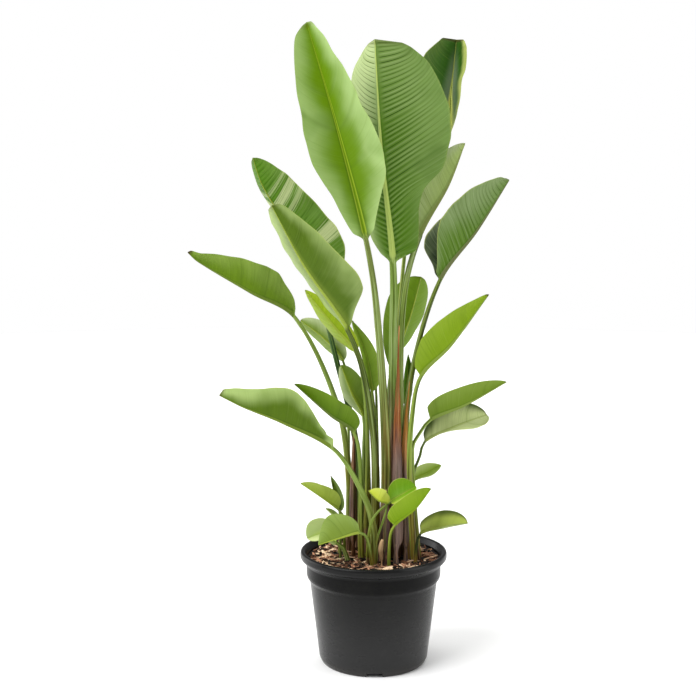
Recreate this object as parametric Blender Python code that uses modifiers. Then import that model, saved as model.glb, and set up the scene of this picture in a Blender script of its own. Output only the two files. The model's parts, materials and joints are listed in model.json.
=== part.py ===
"""Potted giant white bird of paradise: fanned leaves on long stalks, in bark mulch in a plastic nursery pot.

Metres, +Z up. The origin is the centre of the pot's underside. -Y is the side that the plant is seen from.
Each leaf is one loft from the foot of its stalk, through the neck, to the tip of its blade.
"""
import math
import random

import bmesh
import bpy
import numpy as np
from mathutils import Matrix, Vector

PART_COLLECTION = "potted_white_bird_of_paradise"
CUTTER_COLLECTION = "cutters"

CLEARANCE = 0.0003

# Pot
POT_HEIGHT = 0.190
POT_LIP_RADIUS = 0.1232
POT_COLLAR_RADIUS = 0.1130
POT_SHOULDER_RADIUS = 0.1072
POT_SHOULDER_HEIGHT = 0.139
POT_FOOT_RADIUS = 0.0915
POT_WALL = 0.0022
POT_FLOOR = 0.0085
POT_RING_WIDTH = 0.0095
POT_PAD_RADIUS = 0.046
POT_RECESS = 0.006
POT_SIDES = 36
POT_CORNER_INSET = 0.0045
LEDGE_FOOT_HEIGHT = POT_SHOULDER_HEIGHT + 0.001
LEDGE_TOP_HEIGHT = POT_SHOULDER_HEIGHT + 0.013
NOTCH_COUNT = 3
NOTCH_WIDTH = 0.026
NOTCH_HEIGHT = 0.0075
DRAIN_COUNT = 6
DRAIN_SIDES = 10
DRAIN_RADIUS = 0.0048
DRAIN_RING_RADIUS = 0.062

# Mulch
SOIL_HEIGHT = 0.178
FOOT_DEPTH = 0.020
SOCKET_SIDES = 8
SOCKET_HEAD = 0.030
CHIP_COUNT = 46
CHIP_LENGTH = (0.012, 0.026)
CHIP_WIDTH = (0.005, 0.010)
CHIP_THICKNESS = 0.0035
CHIP_SEED = 7
CHIP_LIFT = 0.0003
CHIP_RIM_GAP = 0.001
CHIP_STALK_SHARE = 0.3
CHIP_TILT = 0.22
CHIP_ROLL = 0.25

# Leaves
BLADE_THICKNESS = 0.0008
BLADE_END = 0.990
BLADE_LEAST_HALF = 0.0015
EDGE_AT = (0.0, 0.02, 0.06, 0.1, 0.2, 0.3, 0.4, 0.5, 0.6, 0.7, 0.8, 0.9, 0.95, 0.99, 1.0)
MIDRIB_TIP_RADIUS = 0.0006
STALK_ANGLES = (15, 50, 90, 130, 165, 195, 225, 250, 270, 290, 315, 345)
GROOVE_DEPTH = 0.25
HALF_MID = 0.55
CURL_STRIPS = 8
RIPPLES = 4
RIPPLE_SHIFT = 2.1
NECK_SHARE = 0.05
MIDRIB_TAPER = 1.3
MIDRIB_SHARE = 0.35
SHARP_ANGLE = math.radians(50)
PATH_SAMPLES = 240
PATH_REACH = 0.004

# Colours
POT_COLOUR = (0.028, 0.028, 0.027)
MULCH_COLOUR = (0.150, 0.060, 0.035)
LEAF_COLOUR = (0.110, 0.270, 0.035)
YOUNG_LEAF_COLOUR = (0.210, 0.390, 0.040)
DARK_LEAF_COLOUR = (0.050, 0.150, 0.025)
DRIED_COLOUR = (0.300, 0.130, 0.050)


def leaf(stalk, rib, face, half, fold=(20, 20), curl=(10, 10), widest=0.42, base=0.75, tip=0.8,
         radius=(0.0045, 0.0030), edge=None, turn=0, wave=0.0, stations=(8, 12), colour=LEAF_COLOUR):
    """One leaf. stalk runs from the foot (x, y) in the mulch to the neck, and rib on from there to the tip.
    face is the way the blade's upper side looks. half, fold and curl are (right, left) as seen on that side:
    the half-widths, the degrees each half is raised at the rib, and the degrees more at its edge. Either the
    margins follow widest, base and tip, or edge gives their widths in millimetres at the places of EDGE_AT.
    radius is the stalk's at its foot and at its neck."""
    foot = (stalk[0][0], stalk[0][1], SOIL_HEIGHT - FOOT_DEPTH + CLEARANCE)
    widest, base, tip = (value if isinstance(value, tuple) else (value, value) for value in (widest, base, tip))
    return {
        "stalk": (foot,) + tuple(stalk[1:]),
        "rib": rib,
        "face": face,
        "half": half,
        "fold": fold,
        "curl": curl,
        "widest": widest,
        "base": base,
        "tip": tip,
        "edge": edge,
        "radius": radius,
        "turn": turn,
        "wave": wave,
        "stations": stations,
        "colour": colour,
    }


LEAVES = {
    "leaf_tall_left": leaf(
        stalk=((0.018, -0.020), (0.019, -0.035, 0.366), (0.003, -0.050, 0.598), (-0.014, -0.055, 0.708)),
        rib=((-0.058, -0.065, 0.880), (-0.108, -0.045, 1.050)),
        face=(0.10, -1.0, 0.10), half=(0.066, 0.057), fold=(24, 20), curl=(12, 10),
        turn=-34, radius=(0.0100, 0.0042), wave=0.03, stations=(8, 13),
        edge=(
            (14, 21, 27, 46, 68, 71, 66, 59, 54, 43, 32, 22, 12),
            (14, 22, 27, 37, 47, 56, 56, 50, 47, 40, 31, 24, 8))),
    "leaf_tall_centre": leaf(
        stalk=((0.036, 0.004), (0.032, -0.009, 0.361), (0.031, -0.015, 0.546), (0.030, -0.020, 0.670)),
        rib=((0.010, -0.030, 0.853), (0.000, 0.000, 1.0305)),
        face=(-0.10, 1.0, 0.0), half=(0.085, 0.114), fold=(42, 8), curl=(10, 8),
        radius=(0.0115, 0.0056), wave=0.02, stations=(8, 13),
        edge=(
            (16, 29, 38, 50, 62, 70, 78, 80, 76, 60, 47, 31, 13),
            (27, 43, 47, 53, 64, 103, 117, 123, 123, 111, 93, 73, 46))),
    "leaf_back_top": leaf(
        stalk=(
            (0.030, 0.032), (0.035, 0.032, 0.439), (0.048, 0.050, 0.640),
            (0.070, 0.066, 0.780), (0.122, 0.088, 0.872)),
        rib=((0.133, 0.099, 0.967), (0.141, 0.104, 1.045)),
        face=(0.10, -1.0, 0.10), half=(0.036, 0.068), fold=(55, 15), curl=(10, 10),
        radius=(0.0045, 0.0026), stations=(7, 10), colour=DARK_LEAF_COLOUR,
        edge=(
            (6, 8, 9, 14, 20, 24, 24.5, 26, 31, 31.5, 29, 24, 17),
            (3, 6, 9, 20, 34, 47, 57, 64, 64, 58, 43, 34, 26))),
    "leaf_rolled_right": leaf(
        stalk=((0.054, 0.016), (0.044, 0.012, 0.442), (0.050, 0.015, 0.618), (0.0755, 0.020, 0.715)),
        rib=((0.1240, 0.040, 0.799), (0.1510, 0.040, 0.868)),
        face=(-0.70, 0.60, 0.35), half=(0.052, 0.050), fold=(50, 55), curl=(25, 25), widest=0.42,
        base=0.8, tip=0.7, radius=(0.0080, 0.0046), stations=(7, 11)),
    "leaf_upper_right": leaf(
        stalk=((0.058, -0.003), (0.051, -0.006, 0.362), (0.063, -0.010, 0.495), (0.107, 0.000, 0.641)),
        rib=((0.1695, 0.010, 0.7245), (0.217, -0.020, 0.806)),
        face=(-0.75, 0.25, 0.50), half=(0.062, 0.070), fold=(52, 46), curl=(12, 12),
        radius=(0.0080, 0.0036), stations=(7, 12),
        edge=(
            (8, 13, 18, 37, 54, 63, 63, 62, 56, 49, 34, 24, 14),
            (12, 22, 34, 80, 97, 94, 80, 64, 54, 42, 29, 20, 8))),
    "leaf_middle_right": leaf(
        stalk=((0.068, -0.023), (0.058, -0.034, 0.335), (0.062, -0.034, 0.424), (0.076, -0.020, 0.485)),
        rib=((0.124, -0.040, 0.540), (0.183, -0.050, 0.623)),
        face=(-0.60, 0.35, 0.60), half=(0.042, 0.040), fold=(50, 60), curl=(15, 15),
        radius=(0.0062, 0.0034), stations=(6, 10), colour=YOUNG_LEAF_COLOUR,
        edge=(
            (10, 19, 25, 36, 44, 45, 43, 38, 32, 23, 13, 8, 3),
            (8, 18, 25, 33, 39, 40, 39, 36, 30, 23, 14, 8, 3))),
    "leaf_low_right": leaf(
        stalk=((0.077, -0.008), (0.064, -0.007, 0.364), (0.077, -0.008, 0.391), (0.093, -0.010, 0.412)),
        rib=((0.150, -0.030, 0.4408), (0.215, -0.040, 0.480)),
        face=(-0.35, 0.35, 0.85), half=(0.032, 0.030), fold=(60, 60), curl=(15, 15), widest=0.35,
        base=0.32, tip=0.8, radius=(0.0045, 0.0028), stations=(6, 10)),
    "leaf_curled_right": leaf(
        stalk=((0.070, 0.012), (0.066, 0.010, 0.311), (0.078, 0.015, 0.346), (0.086, 0.020, 0.369)),
        rib=((0.136, 0.010, 0.397), (0.192, 0.030, 0.414)),
        face=(-0.10, -0.40, 0.90), half=(0.033, 0.038), fold=(-8, 25), curl=(35, 30),
        radius=(0.0034, 0.0022), stations=(6, 9),
        edge=(
            (0.5, 1, 1.5, 2, 4, 9, 17, 26, 31, 31, 24, 17, 8),
            (8, 15, 20, 28, 33, 36, 38, 38, 36, 32, 24, 17, 8))),
    "leaf_small_right": leaf(
        stalk=((0.058, 0.032), (0.060, 0.035, 0.248), (0.070, 0.050, 0.295)),
        rib=((0.095, 0.065, 0.306), (0.119, 0.080, 0.317)),
        face=(-0.30, -0.60, 0.75), half=(0.017, 0.019), fold=(20, 20), widest=0.45,
        radius=(0.0030, 0.0018), stations=(4, 6)),
    "leaf_front_bright": leaf(
        stalk=((0.024, -0.050), (0.025, -0.068, 0.225), (0.032, -0.088, 0.254)),
        rib=((0.064, -0.100, 0.284), (0.089, -0.100, 0.317)),
        face=(-0.60, 0.30, 0.65), half=(0.032, 0.028), fold=(45, 50), curl=(15, 10), widest=0.38,
        base=0.45, tip=0.6, radius=(0.0030, 0.0022), stations=(5, 8), colour=YOUNG_LEAF_COLOUR),
    "leaf_front_cupped": leaf(
        stalk=((-0.010, -0.034), (-0.010, -0.050, 0.217), (-0.001, -0.062, 0.261), (0.026, -0.070, 0.288)),
        rib=((0.045, -0.072, 0.301), (0.067, -0.068, 0.313)),
        face=(-0.40, -0.62, 0.70), half=(0.026, 0.027), fold=(15, 15), curl=(30, 30), widest=0.5,
        base=0.5, tip=0.5, radius=(0.0028, 0.0018), stations=(6, 7), colour=YOUNG_LEAF_COLOUR),
    "leaf_front_yellow": leaf(
        stalk=((0.002, -0.048), (0.004, -0.056, 0.218), (0.016, -0.070, 0.264), (0.020, -0.076, 0.286)),
        rib=((0.006, -0.082, 0.293), (-0.010, -0.086, 0.310)),
        face=(0.30, 0.60, 0.65), half=(0.022, 0.022), fold=(30, 30), widest=0.5,
        base=0.55, tip=0.55, radius=(0.0022, 0.0014), stations=(5, 6), colour=YOUNG_LEAF_COLOUR),
    "leaf_front_left": leaf(
        stalk=((-0.001, -0.052), (-0.012, -0.070, 0.227), (-0.024, -0.085, 0.241)),
        rib=((-0.056, -0.105, 0.238), (-0.090, -0.120, 0.231)),
        face=(0.0, 0.50, 0.85), half=(0.032, 0.040), fold=(50, 65), curl=(15, 10), widest=0.58,
        base=0.6, tip=0.95, radius=(0.0030, 0.0022), stations=(5, 8), colour=YOUNG_LEAF_COLOUR),
    "leaf_round_left": leaf(
        stalk=((-0.038, -0.022), (-0.050, -0.032, 0.199), (-0.063, -0.040, 0.212)),
        rib=((-0.085, -0.047, 0.229), (-0.110, -0.054, 0.223)),
        face=(0.20, -0.50, 0.80), half=(0.028, 0.024), fold=(15, 20), widest=0.5,
        base=0.5, tip=0.5, radius=(0.0050, 0.0028), stations=(4, 7)),
    "leaf_small_left": leaf(
        stalk=((-0.048, 0.012), (-0.052, -0.006, 0.249), (-0.060, -0.012, 0.262)),
        rib=((-0.089, -0.026, 0.287), (-0.121, -0.036, 0.311)),
        face=(0.40, 0.20, 0.85), half=(0.022, 0.027), fold=(50, 42), widest=0.4,
        radius=(0.0030, 0.0020), stations=(5, 8), colour=YOUNG_LEAF_COLOUR),
    "leaf_spear_left": leaf(
        stalk=((-0.058, 0.022), (-0.055, 0.014, 0.236), (-0.057, 0.012, 0.250)),
        rib=((-0.062, 0.010, 0.281), (-0.072, 0.010, 0.313)),
        face=(0.30, -1.0, 0.0), half=(0.012, 0.009), fold=(40, 40), widest=0.3,
        radius=(0.0030, 0.0024), stations=(4, 6)),
    "leaf_tiny_left": leaf(
        stalk=((-0.056, -0.014), (-0.057, -0.018, 0.238)),
        rib=((-0.067, -0.020, 0.252), (-0.080, -0.024, 0.266)),
        face=(0.60, -0.30, 0.70), half=(0.009, 0.009), fold=(30, 30), widest=0.4,
        radius=(0.0024, 0.0018), stations=(4, 5), colour=YOUNG_LEAF_COLOUR),
    "leaf_lower_left": leaf(
        stalk=((0.001, -0.036), (-0.004, -0.047, 0.254), (-0.030, -0.058, 0.321), (-0.0665, -0.0612, 0.3735)),
        rib=((-0.147, -0.078, 0.4190), (-0.211, -0.076, 0.4445), (-0.2495, -0.070, 0.4625)),
        face=(0.25, 0.40, 0.85), half=(0.045, 0.052), fold=(55, 60), curl=(12, 12),
        radius=(0.0070, 0.0034), wave=0.02, stations=(8, 11),
        edge=(
            (1.5, 4, 22, 37, 44, 45, 43, 40, 35, 28, 19, 12, 6),
            (9, 13, 13, 24, 38, 50, 55, 49, 39, 31, 23, 17, 11))),
    "leaf_low_narrow_left": leaf(
        stalk=((-0.020, -0.016), (-0.022, -0.020, 0.243), (-0.023, -0.024, 0.338), (-0.033, -0.030, 0.394)),
        rib=((-0.072, -0.050, 0.427), (-0.130, -0.050, 0.478)),
        face=(0.45, 0.30, 0.80), half=(0.026, 0.030), fold=(55, 55), curl=(15, 15), widest=0.3,
        base=0.5, tip=0.8, radius=(0.0062, 0.0030), stations=(6, 9)),
    "leaf_mid_left": leaf(
        stalk=((-0.016, 0.028), (-0.016, 0.025, 0.356), (-0.017, 0.019, 0.412)),
        rib=((-0.036, 0.010, 0.452), (-0.055, 0.020, 0.500)),
        face=(0.30, 0.90, 0.20), half=(0.026, 0.026), fold=(25, 25), widest=0.5,
        base=0.6, tip=0.6, radius=(0.0056, 0.0028), stations=(5, 7)),
    "leaf_slim_left": leaf(
        stalk=((-0.004, 0.044), (-0.009, 0.038, 0.371), (-0.012, 0.032, 0.422)),
        rib=((-0.017, 0.035, 0.452), (-0.019, 0.040, 0.479)),
        face=(0.30, -0.90, 0.20), half=(0.009, 0.009), fold=(35, 35), widest=0.5,
        radius=(0.0045, 0.0022), stations=(4, 5)),
    "leaf_pointed_left": leaf(
        stalk=((-0.014, 0.008), (-0.010, 0.006, 0.358), (-0.017, 0.001, 0.469), (-0.030, 0.002, 0.523)),
        rib=((-0.064, 0.002, 0.564), (-0.114, 0.002, 0.627)),
        face=(0.55, 0.35, 0.70), half=(0.034, 0.022), fold=(-10, 50), curl=(15, 15), widest=0.42,
        base=0.5, tip=0.8, radius=(0.0052, 0.0028), stations=(7, 9), colour=YOUNG_LEAF_COLOUR),
    "leaf_upper_left": leaf(
        stalk=((0.000, -0.008), (0.002, -0.020, 0.347), (-0.015, -0.028, 0.481), (-0.043, -0.034, 0.562)),
        rib=((-0.1135, -0.060, 0.669), (-0.1645, -0.060, 0.7645)),
        face=(0.35, 0.93, 0.20), half=(0.052, 0.060), fold=(45, 15), curl=(10, 15),
        radius=(0.0090, 0.0036), wave=0.02, stations=(8, 12),
        edge=(
            (10, 22, 30, 42, 46, 44, 48, 56, 58, 54, 54, 44, 30),
            (9, 16, 26, 59, 64, 61, 57, 52, 46, 36, 25, 19, 10))),
    "leaf_striped_left": leaf(
        stalk=((-0.024, 0.048), (-0.028, 0.046, 0.351), (-0.067, 0.050, 0.522), (-0.095, 0.052, 0.624)),
        rib=((-0.149, 0.070, 0.733), (-0.188, 0.076, 0.799), (-0.2045, 0.080, 0.846)),
        face=(0.38, 0.90, 0.22), half=(0.048, 0.074), fold=(46, 12), curl=(10, 10),
        radius=(0.0075, 0.0034), wave=0.02, stations=(7, 12),
        edge=(
            (8, 14, 20, 30, 40, 40, 35, 30, 30, 46, 36, 36, 25),
            (36, 53, 63, 75, 76, 70, 65, 58, 52, 46, 32, 21, 7))),
    "leaf_far_left": leaf(
        stalk=((-0.042, 0.032), (-0.041, 0.022, 0.304), (-0.061, 0.012, 0.434), (-0.130, 0.000, 0.581)),
        rib=((-0.202, -0.024, 0.625), (-0.285, -0.030, 0.6745), (-0.302, -0.030, 0.690)),
        face=(0.35, 0.30, 0.85), half=(0.038, 0.047), fold=(60, 65), curl=(12, 10),
        radius=(0.0072, 0.0032), stations=(8, 11),
        edge=(
            (5, 13, 21, 33, 38, 37, 35, 32, 27, 21, 13, 8, 3),
            (4, 13, 22, 36, 49, 50, 46, 42, 34, 26, 15, 10, 5))),
    "leaf_pale_left": leaf(
        stalk=((-0.044, 0.060), (-0.043, 0.062, 0.435), (-0.051, 0.056, 0.501)),
        rib=((-0.082, 0.066, 0.538), (-0.125, 0.080, 0.570)),
        face=(0.30, 0.85, 0.40), half=(0.024, 0.024), fold=(20, 20), widest=0.5,
        base=0.6, tip=0.6, radius=(0.0042, 0.0022), stations=(6, 7)),
    "leaf_back_centre": leaf(
        stalk=((0.014, 0.054), (0.026, 0.049, 0.438), (0.031, 0.047, 0.487)),
        rib=((0.062, 0.062, 0.573), (0.082, 0.074, 0.645)),
        face=(-0.20, 0.95, 0.0), half=(0.046, 0.037), fold=(15, 35), widest=(0.66, 0.74),
        base=(0.9, 1.9), tip=(0.5, 0.45), radius=(0.0060, 0.0030), stations=(7, 10)),
    "leaf_slim_centre": leaf(
        stalk=((0.006, 0.020), (0.001, 0.016, 0.409), (-0.003, 0.012, 0.454)),
        rib=((-0.014, 0.010, 0.520), (-0.036, 0.016, 0.575)),
        face=(0.40, -0.85, 0.20), half=(0.020, 0.014), fold=(25, 30), widest=(0.3, 0.5), tip=(1.0, 0.6),
        radius=(0.0050, 0.0028), stations=(7, 9)),
    "leaf_curled_centre": leaf(
        stalk=((0.010, 0.036), (0.005, 0.030, 0.441), (0.002, 0.028, 0.478)),
        rib=((-0.004, 0.028, 0.513), (-0.012, 0.036, 0.546)),
        face=(0.60, -0.70, 0.20), half=(0.009, 0.009), fold=(35, 35), widest=0.5,
        radius=(0.0042, 0.0020), stations=(5, 6)),
    "leaf_spear_centre": leaf(
        stalk=((0.048, 0.036), (0.052, 0.030, 0.373), (0.054, 0.028, 0.425)),
        rib=((0.056, 0.027, 0.472), (0.058, 0.030, 0.517)),
        face=(0.30, -0.95, 0.0), half=(0.011, 0.011), fold=(35, 35), widest=0.4,
        radius=(0.0034, 0.0024), stations=(4, 6)),
    "leaf_rim_right": leaf(
        stalk=((0.068, -0.038), (0.070, -0.038, 0.206), (0.0765, -0.042, 0.2275)),
        rib=((0.112, -0.054, 0.2405), (0.153, -0.056, 0.2490)),
        face=(-0.15, -0.45, 0.90), half=(0.021, 0.030), fold=(34, 22), curl=(30, 15), widest=0.5,
        base=0.36, tip=0.5, radius=(0.0034, 0.0020), stations=(4, 8)),
    "sheath_centre": leaf(
        stalk=((0.036, -0.040), (0.036, -0.044, 0.195)),
        rib=((0.035, -0.040, 0.380), (0.040, -0.034, 0.572)),
        face=(0.0, 1.0, 0.0), half=(0.009, 0.019), fold=(30, 20), curl=(40, 50), widest=0.12,
        base=0.4, tip=1.6, radius=(0.0070, 0.0030), stations=(2, 10), colour=DRIED_COLOUR),
    "sheath_front": leaf(
        stalk=((0.020, -0.040), (0.020, -0.044, 0.195)),
        rib=((0.020, -0.050, 0.250), (0.019, -0.052, 0.305)),
        face=(0.0, 1.0, 0.2), half=(0.018, 0.012), fold=(25, 25), curl=(55, 55), widest=0.2,
        base=0.4, tip=1.0, radius=(0.0060, 0.0030), stations=(2, 7), colour=DRIED_COLOUR),
    "sheath_right": leaf(
        stalk=((0.052, -0.028), (0.053, -0.028, 0.195)),
        rib=((0.050, -0.027, 0.362), (0.058, -0.025, 0.480)),
        face=(0.0, 1.0, 0.0), half=(0.012, 0.012), fold=(40, 40), curl=(35, 35), widest=0.15,
        base=0.4, tip=1.2, radius=(0.0055, 0.0030), stations=(2, 8), colour=DRIED_COLOUR),
    "sheath_torn": leaf(
        stalk=((0.012, -0.058), (0.012, -0.062, 0.188)),
        rib=((0.009, -0.068, 0.206), (0.013, -0.070, 0.226)),
        face=(0.2, 1.0, 0.2), half=(0.006, 0.006), fold=(30, 30), curl=(40, 40), widest=0.5,
        base=0.4, tip=0.4, radius=(0.0024, 0.0010), stations=(2, 5), colour=DRIED_COLOUR),
    "sheath_left": leaf(
        stalk=((-0.034, 0.002), (-0.034, 0.001, 0.195)),
        rib=((-0.034, 0.002, 0.300), (-0.033, 0.006, 0.415)),
        face=(0.0, 1.0, 0.0), half=(0.012, 0.012), fold=(35, 35), curl=(40, 40), widest=0.15,
        base=0.4, tip=1.4, radius=(0.0050, 0.0028), stations=(2, 7), colour=DRIED_COLOUR),
}


def unit(vector):
    return np.asarray(vector, float) / np.linalg.norm(vector)


def path(points):
    """A smooth path through points, as dense samples with their distance along it."""
    points = np.asarray(points, float)
    steps = np.diff(points, axis=0)
    chords = np.linalg.norm(steps, axis=1)[:, None]
    slopes = steps / chords
    inner = (steps[:-1] + steps[1:]) / (chords[:-1] + chords[1:])
    tangents = np.vstack([slopes[:1], inner, slopes[-1:]])
    at = np.linspace(0, 1, PATH_SAMPLES // len(steps))[:, None]
    spans = [
        (2 * at**3 - 3 * at**2 + 1) * points[i]
        + (at**3 - 2 * at**2 + at) * chords[i] * tangents[i]
        + (3 * at**2 - 2 * at**3) * points[i + 1]
        + (at**3 - at**2) * chords[i] * tangents[i + 1]
        for i in range(len(steps))
    ]
    samples = np.vstack([spans[0]] + [span[1:] for span in spans[1:]])
    distance = np.concatenate([[0.0], np.cumsum(np.linalg.norm(np.diff(samples, axis=0), axis=1))])
    return samples, distance


def turned(vector, axis, degrees):
    """vector turned about a unit axis."""
    angle = math.radians(degrees)
    across = np.cross(axis, vector)
    along = axis * np.dot(axis, vector)
    return vector * math.cos(angle) + across * math.sin(angle) + along * (1 - math.cos(angle))


def drawn_width(widths, t):
    """The width at t of a smooth margin through widths in millimetres, which overshoots none of them."""
    at = np.array(EDGE_AT)
    width = np.concatenate([[0.0], widths, [0.0]]) / 1000
    slope = np.diff(width) / np.diff(at)
    product = slope[:-1] * slope[1:]
    total = slope[:-1] + slope[1:]
    inner = np.divide(2 * product, total, out=np.zeros_like(total), where=product > 0)
    slope = np.concatenate([slope[:1], inner, slope[-1:]])
    i = np.clip(np.searchsorted(at, t) - 1, 0, len(at) - 2)
    span = at[i + 1] - at[i]
    u = (t - at[i]) / span
    return (
        (2 * u**3 - 3 * u**2 + 1) * width[i] + (u**3 - 2 * u**2 + u) * span * slope[i]
        + (3 * u**2 - 2 * u**3) * width[i + 1] + (u**3 - u**2) * span * slope[i + 1])


def half_width(spec, hand, t):
    """The width of one half of the blade at t along it."""
    if spec["edge"]:
        return max(BLADE_LEAST_HALF, float(drawn_width(spec["edge"][hand], t)))
    widest = spec["widest"][hand]
    if t < widest:
        share = (1 - ((widest - t) / widest) ** 2) ** spec["base"][hand]
    else:
        share = (1 - ((t - widest) / (1 - widest)) ** 2) ** spec["tip"][hand]
    return max(BLADE_LEAST_HALF, spec["half"][hand] * share)


def half_point(spec, hand, t, share):
    """Across, up and the face's lean at a share of the way from the rib to the edge of one half."""
    width = half_width(spec, hand, t)
    fold = math.radians(spec["fold"][hand])
    curl = math.radians(spec["curl"][hand])
    across = up = 0.0
    strip = width * share / CURL_STRIPS
    for i in range(CURL_STRIPS):
        lean = fold + curl * share * (i + 0.5) / CURL_STRIPS
        across += math.cos(lean) * strip
        up += math.sin(lean) * strip
    phase = math.tau * RIPPLES * t + RIPPLE_SHIFT * hand
    ripple = spec["wave"] * spec["half"][hand] * share**2 * math.sin(phase) * (1 - t)
    lean = fold + curl * share
    across -= math.sin(lean) * ripple
    up += math.cos(lean) * ripple
    return across, up, lean


def stalk_ring(radius):
    """Across and up of the twelve points round a stalk, grooved on its upper side."""
    ring = []
    for angle in STALK_ANGLES:
        reach = radius * (1 - GROOVE_DEPTH * (angle == 90))
        ring.append((reach * math.cos(math.radians(angle)), reach * math.sin(math.radians(angle))))
    return ring


def blade_ring(spec, t, rib_radius):
    """Across and up of the twelve points round a blade: five on its face, and seven under it round the rib."""
    over, under = [], []
    lift = BLADE_THICKNESS / 2
    for hand, side in ((0, 1), (1, -1)):
        for share in (1.0, HALF_MID):
            across, up, lean = half_point(spec, hand, t, share)
            over.append((side * (across - math.sin(lean) * lift), up + math.cos(lean) * lift))
            under.append((side * (across + math.sin(lean) * lift), up - math.cos(lean) * lift))
        fold = math.radians(spec["fold"][hand])
        reach = min(rib_radius, MIDRIB_SHARE * half_width(spec, hand, t))
        across = reach * math.cos(fold) + math.sin(fold) * lift
        under.append((side * across, reach * math.sin(fold) - math.cos(fold) * lift))
    crown = (0.0, lift)
    keel = (0.0, -lift - rib_radius)
    return [over[0], over[1], crown, over[3], over[2],
            under[3], under[4], under[5], keel, under[2], under[1], under[0]]


def leaf_rings(spec):
    """The rings of points from the foot of the stalk to the end of the blade, and the point of its tip."""
    samples, distance = path(spec["stalk"] + spec["rib"])
    spans = len(spec["stalk"]) + len(spec["rib"]) - 1
    neck = distance[(len(spec["stalk"]) - 1) * (PATH_SAMPLES // spans - 1)]
    stalk_count, blade_count = spec["stations"]
    foot_radius, neck_radius = spec["radius"]
    stops = [neck * i / stalk_count for i in range(stalk_count)]
    shares = [BLADE_END * (1 - math.cos(math.pi * i / blade_count)) / 2 for i in range(blade_count + 1)]
    stops += [neck + (distance[-1] - neck) * share for share in shares]
    rings = []
    for stop in stops:
        place = np.array([np.interp(stop, distance, samples[:, k]) for k in range(3)])
        ahead = [np.interp(min(stop + PATH_REACH, distance[-1]), distance, samples[:, k]) for k in range(3)]
        behind = [np.interp(max(stop - PATH_REACH, 0), distance, samples[:, k]) for k in range(3)]
        along = unit(np.subtract(ahead, behind))
        t = max(0.0, (stop - neck) / (distance[-1] - neck))
        face = turned(unit(spec["face"]), along, spec["turn"] * t)
        side = unit(np.cross(along, face))
        up = np.cross(side, along)
        if t == 0:
            flat = stalk_ring(foot_radius + (neck_radius - foot_radius) * stop / neck)
        else:
            rib_radius = MIDRIB_TIP_RADIUS + (neck_radius - MIDRIB_TIP_RADIUS) * (1 - t) ** MIDRIB_TAPER
            grown = min(1.0, t / NECK_SHARE)
            grown = grown * grown * (3 - 2 * grown)
            flat = [
                tuple((1 - grown) * a + grown * b for a, b in zip(stalk, blade))
                for stalk, blade in zip(stalk_ring(neck_radius), blade_ring(spec, t, rib_radius))
            ]
        rings.append([place + side * across + up * lift for across, lift in flat])
    return rings, samples[-1]


def loft(name, rings, tip, material):
    """A closed skin over rings of twelve points. Faces over and under a blade are split the same way."""
    mesh = bpy.data.meshes.new(name)
    bm = bmesh.new()
    rows = [[bm.verts.new(point) for point in ring] for ring in rings]
    count = len(rows[0])
    for near, far in zip(rows, rows[1:]):
        for j in range(count):
            k = (j + 1) % count
            if j < 5:
                bm.faces.new((near[j], near[k], far[k]))
                bm.faces.new((near[j], far[k], far[j]))
            else:
                bm.faces.new((near[j], near[k], far[j]))
                bm.faces.new((near[k], far[k], far[j]))
    end = bm.verts.new(tip)
    for j in range(count):
        bm.faces.new((rows[-1][j], rows[-1][(j + 1) % count], end))
    bm.faces.new(list(reversed(rows[0])))
    bmesh.ops.recalc_face_normals(bm, faces=bm.faces)
    bm.to_mesh(mesh)
    bm.free()
    mesh.shade_smooth()
    mesh.set_sharp_from_angle(angle=SHARP_ANGLE)
    mesh.materials.append(material)
    return add_object(name, mesh)


def add_object(name, mesh, collection=None):
    piece = bpy.data.objects.new(name, mesh)
    (collection or bpy.data.collections[PART_COLLECTION]).objects.link(piece)
    return piece


def material(name, colour, roughness, metallic=0.0):
    made = bpy.data.materials.new(name)
    made.use_nodes = True
    shader = made.node_tree.nodes["Principled BSDF"]
    shader.inputs["Base Color"].default_value = (*colour, 1.0)
    shader.inputs["Roughness"].default_value = roughness
    shader.inputs["Metallic"].default_value = metallic
    return made


def turned_piece(name, profile, made):
    """A profile of (radius, height), run from the axis and down the outer side, turned about Z."""
    mesh = bpy.data.meshes.new(name)
    points = [(radius, 0.0, height) for radius, height in profile]
    mesh.from_pydata(points, [(i, i + 1) for i in range(len(points) - 1)], [])
    mesh.materials.append(made)
    piece = add_object(name, mesh)
    screw = piece.modifiers.new("turn", "SCREW")
    screw.axis = "Z"
    screw.steps = POT_SIDES
    screw.render_steps = POT_SIDES
    screw.use_merge_vertices = True
    screw.merge_threshold = 0.0001
    return piece


def cutter(name, build):
    """A hidden piece that only cuts, from a function that fills a bmesh."""
    mesh = bpy.data.meshes.new(name)
    bm = bmesh.new()
    build(bm)
    bm.to_mesh(mesh)
    bm.free()
    piece = add_object(name, mesh, bpy.data.collections[CUTTER_COLLECTION])
    piece.hide_render = True
    piece.display_type = "WIRE"
    return piece


def boolean(piece, other, operation):
    step = piece.modifiers.new(other.name, "BOOLEAN")
    step.object = other
    step.operation = operation
    step.solver = "EXACT"


def pot_notches(bm):
    for i in range(NOTCH_COUNT):
        angle = -math.pi / 2 + math.tau * i / NOTCH_COUNT
        made = bmesh.ops.create_cube(bm, size=1.0)
        place = (
            Matrix.Rotation(angle, 4, "Z")
            @ Matrix.Translation((POT_FOOT_RADIUS - POT_RING_WIDTH / 2, 0, 0))
            @ Matrix.Diagonal((2 * POT_RING_WIDTH, NOTCH_WIDTH, 2 * NOTCH_HEIGHT, 1))
        )
        bmesh.ops.transform(bm, matrix=place, verts=made["verts"])


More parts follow.
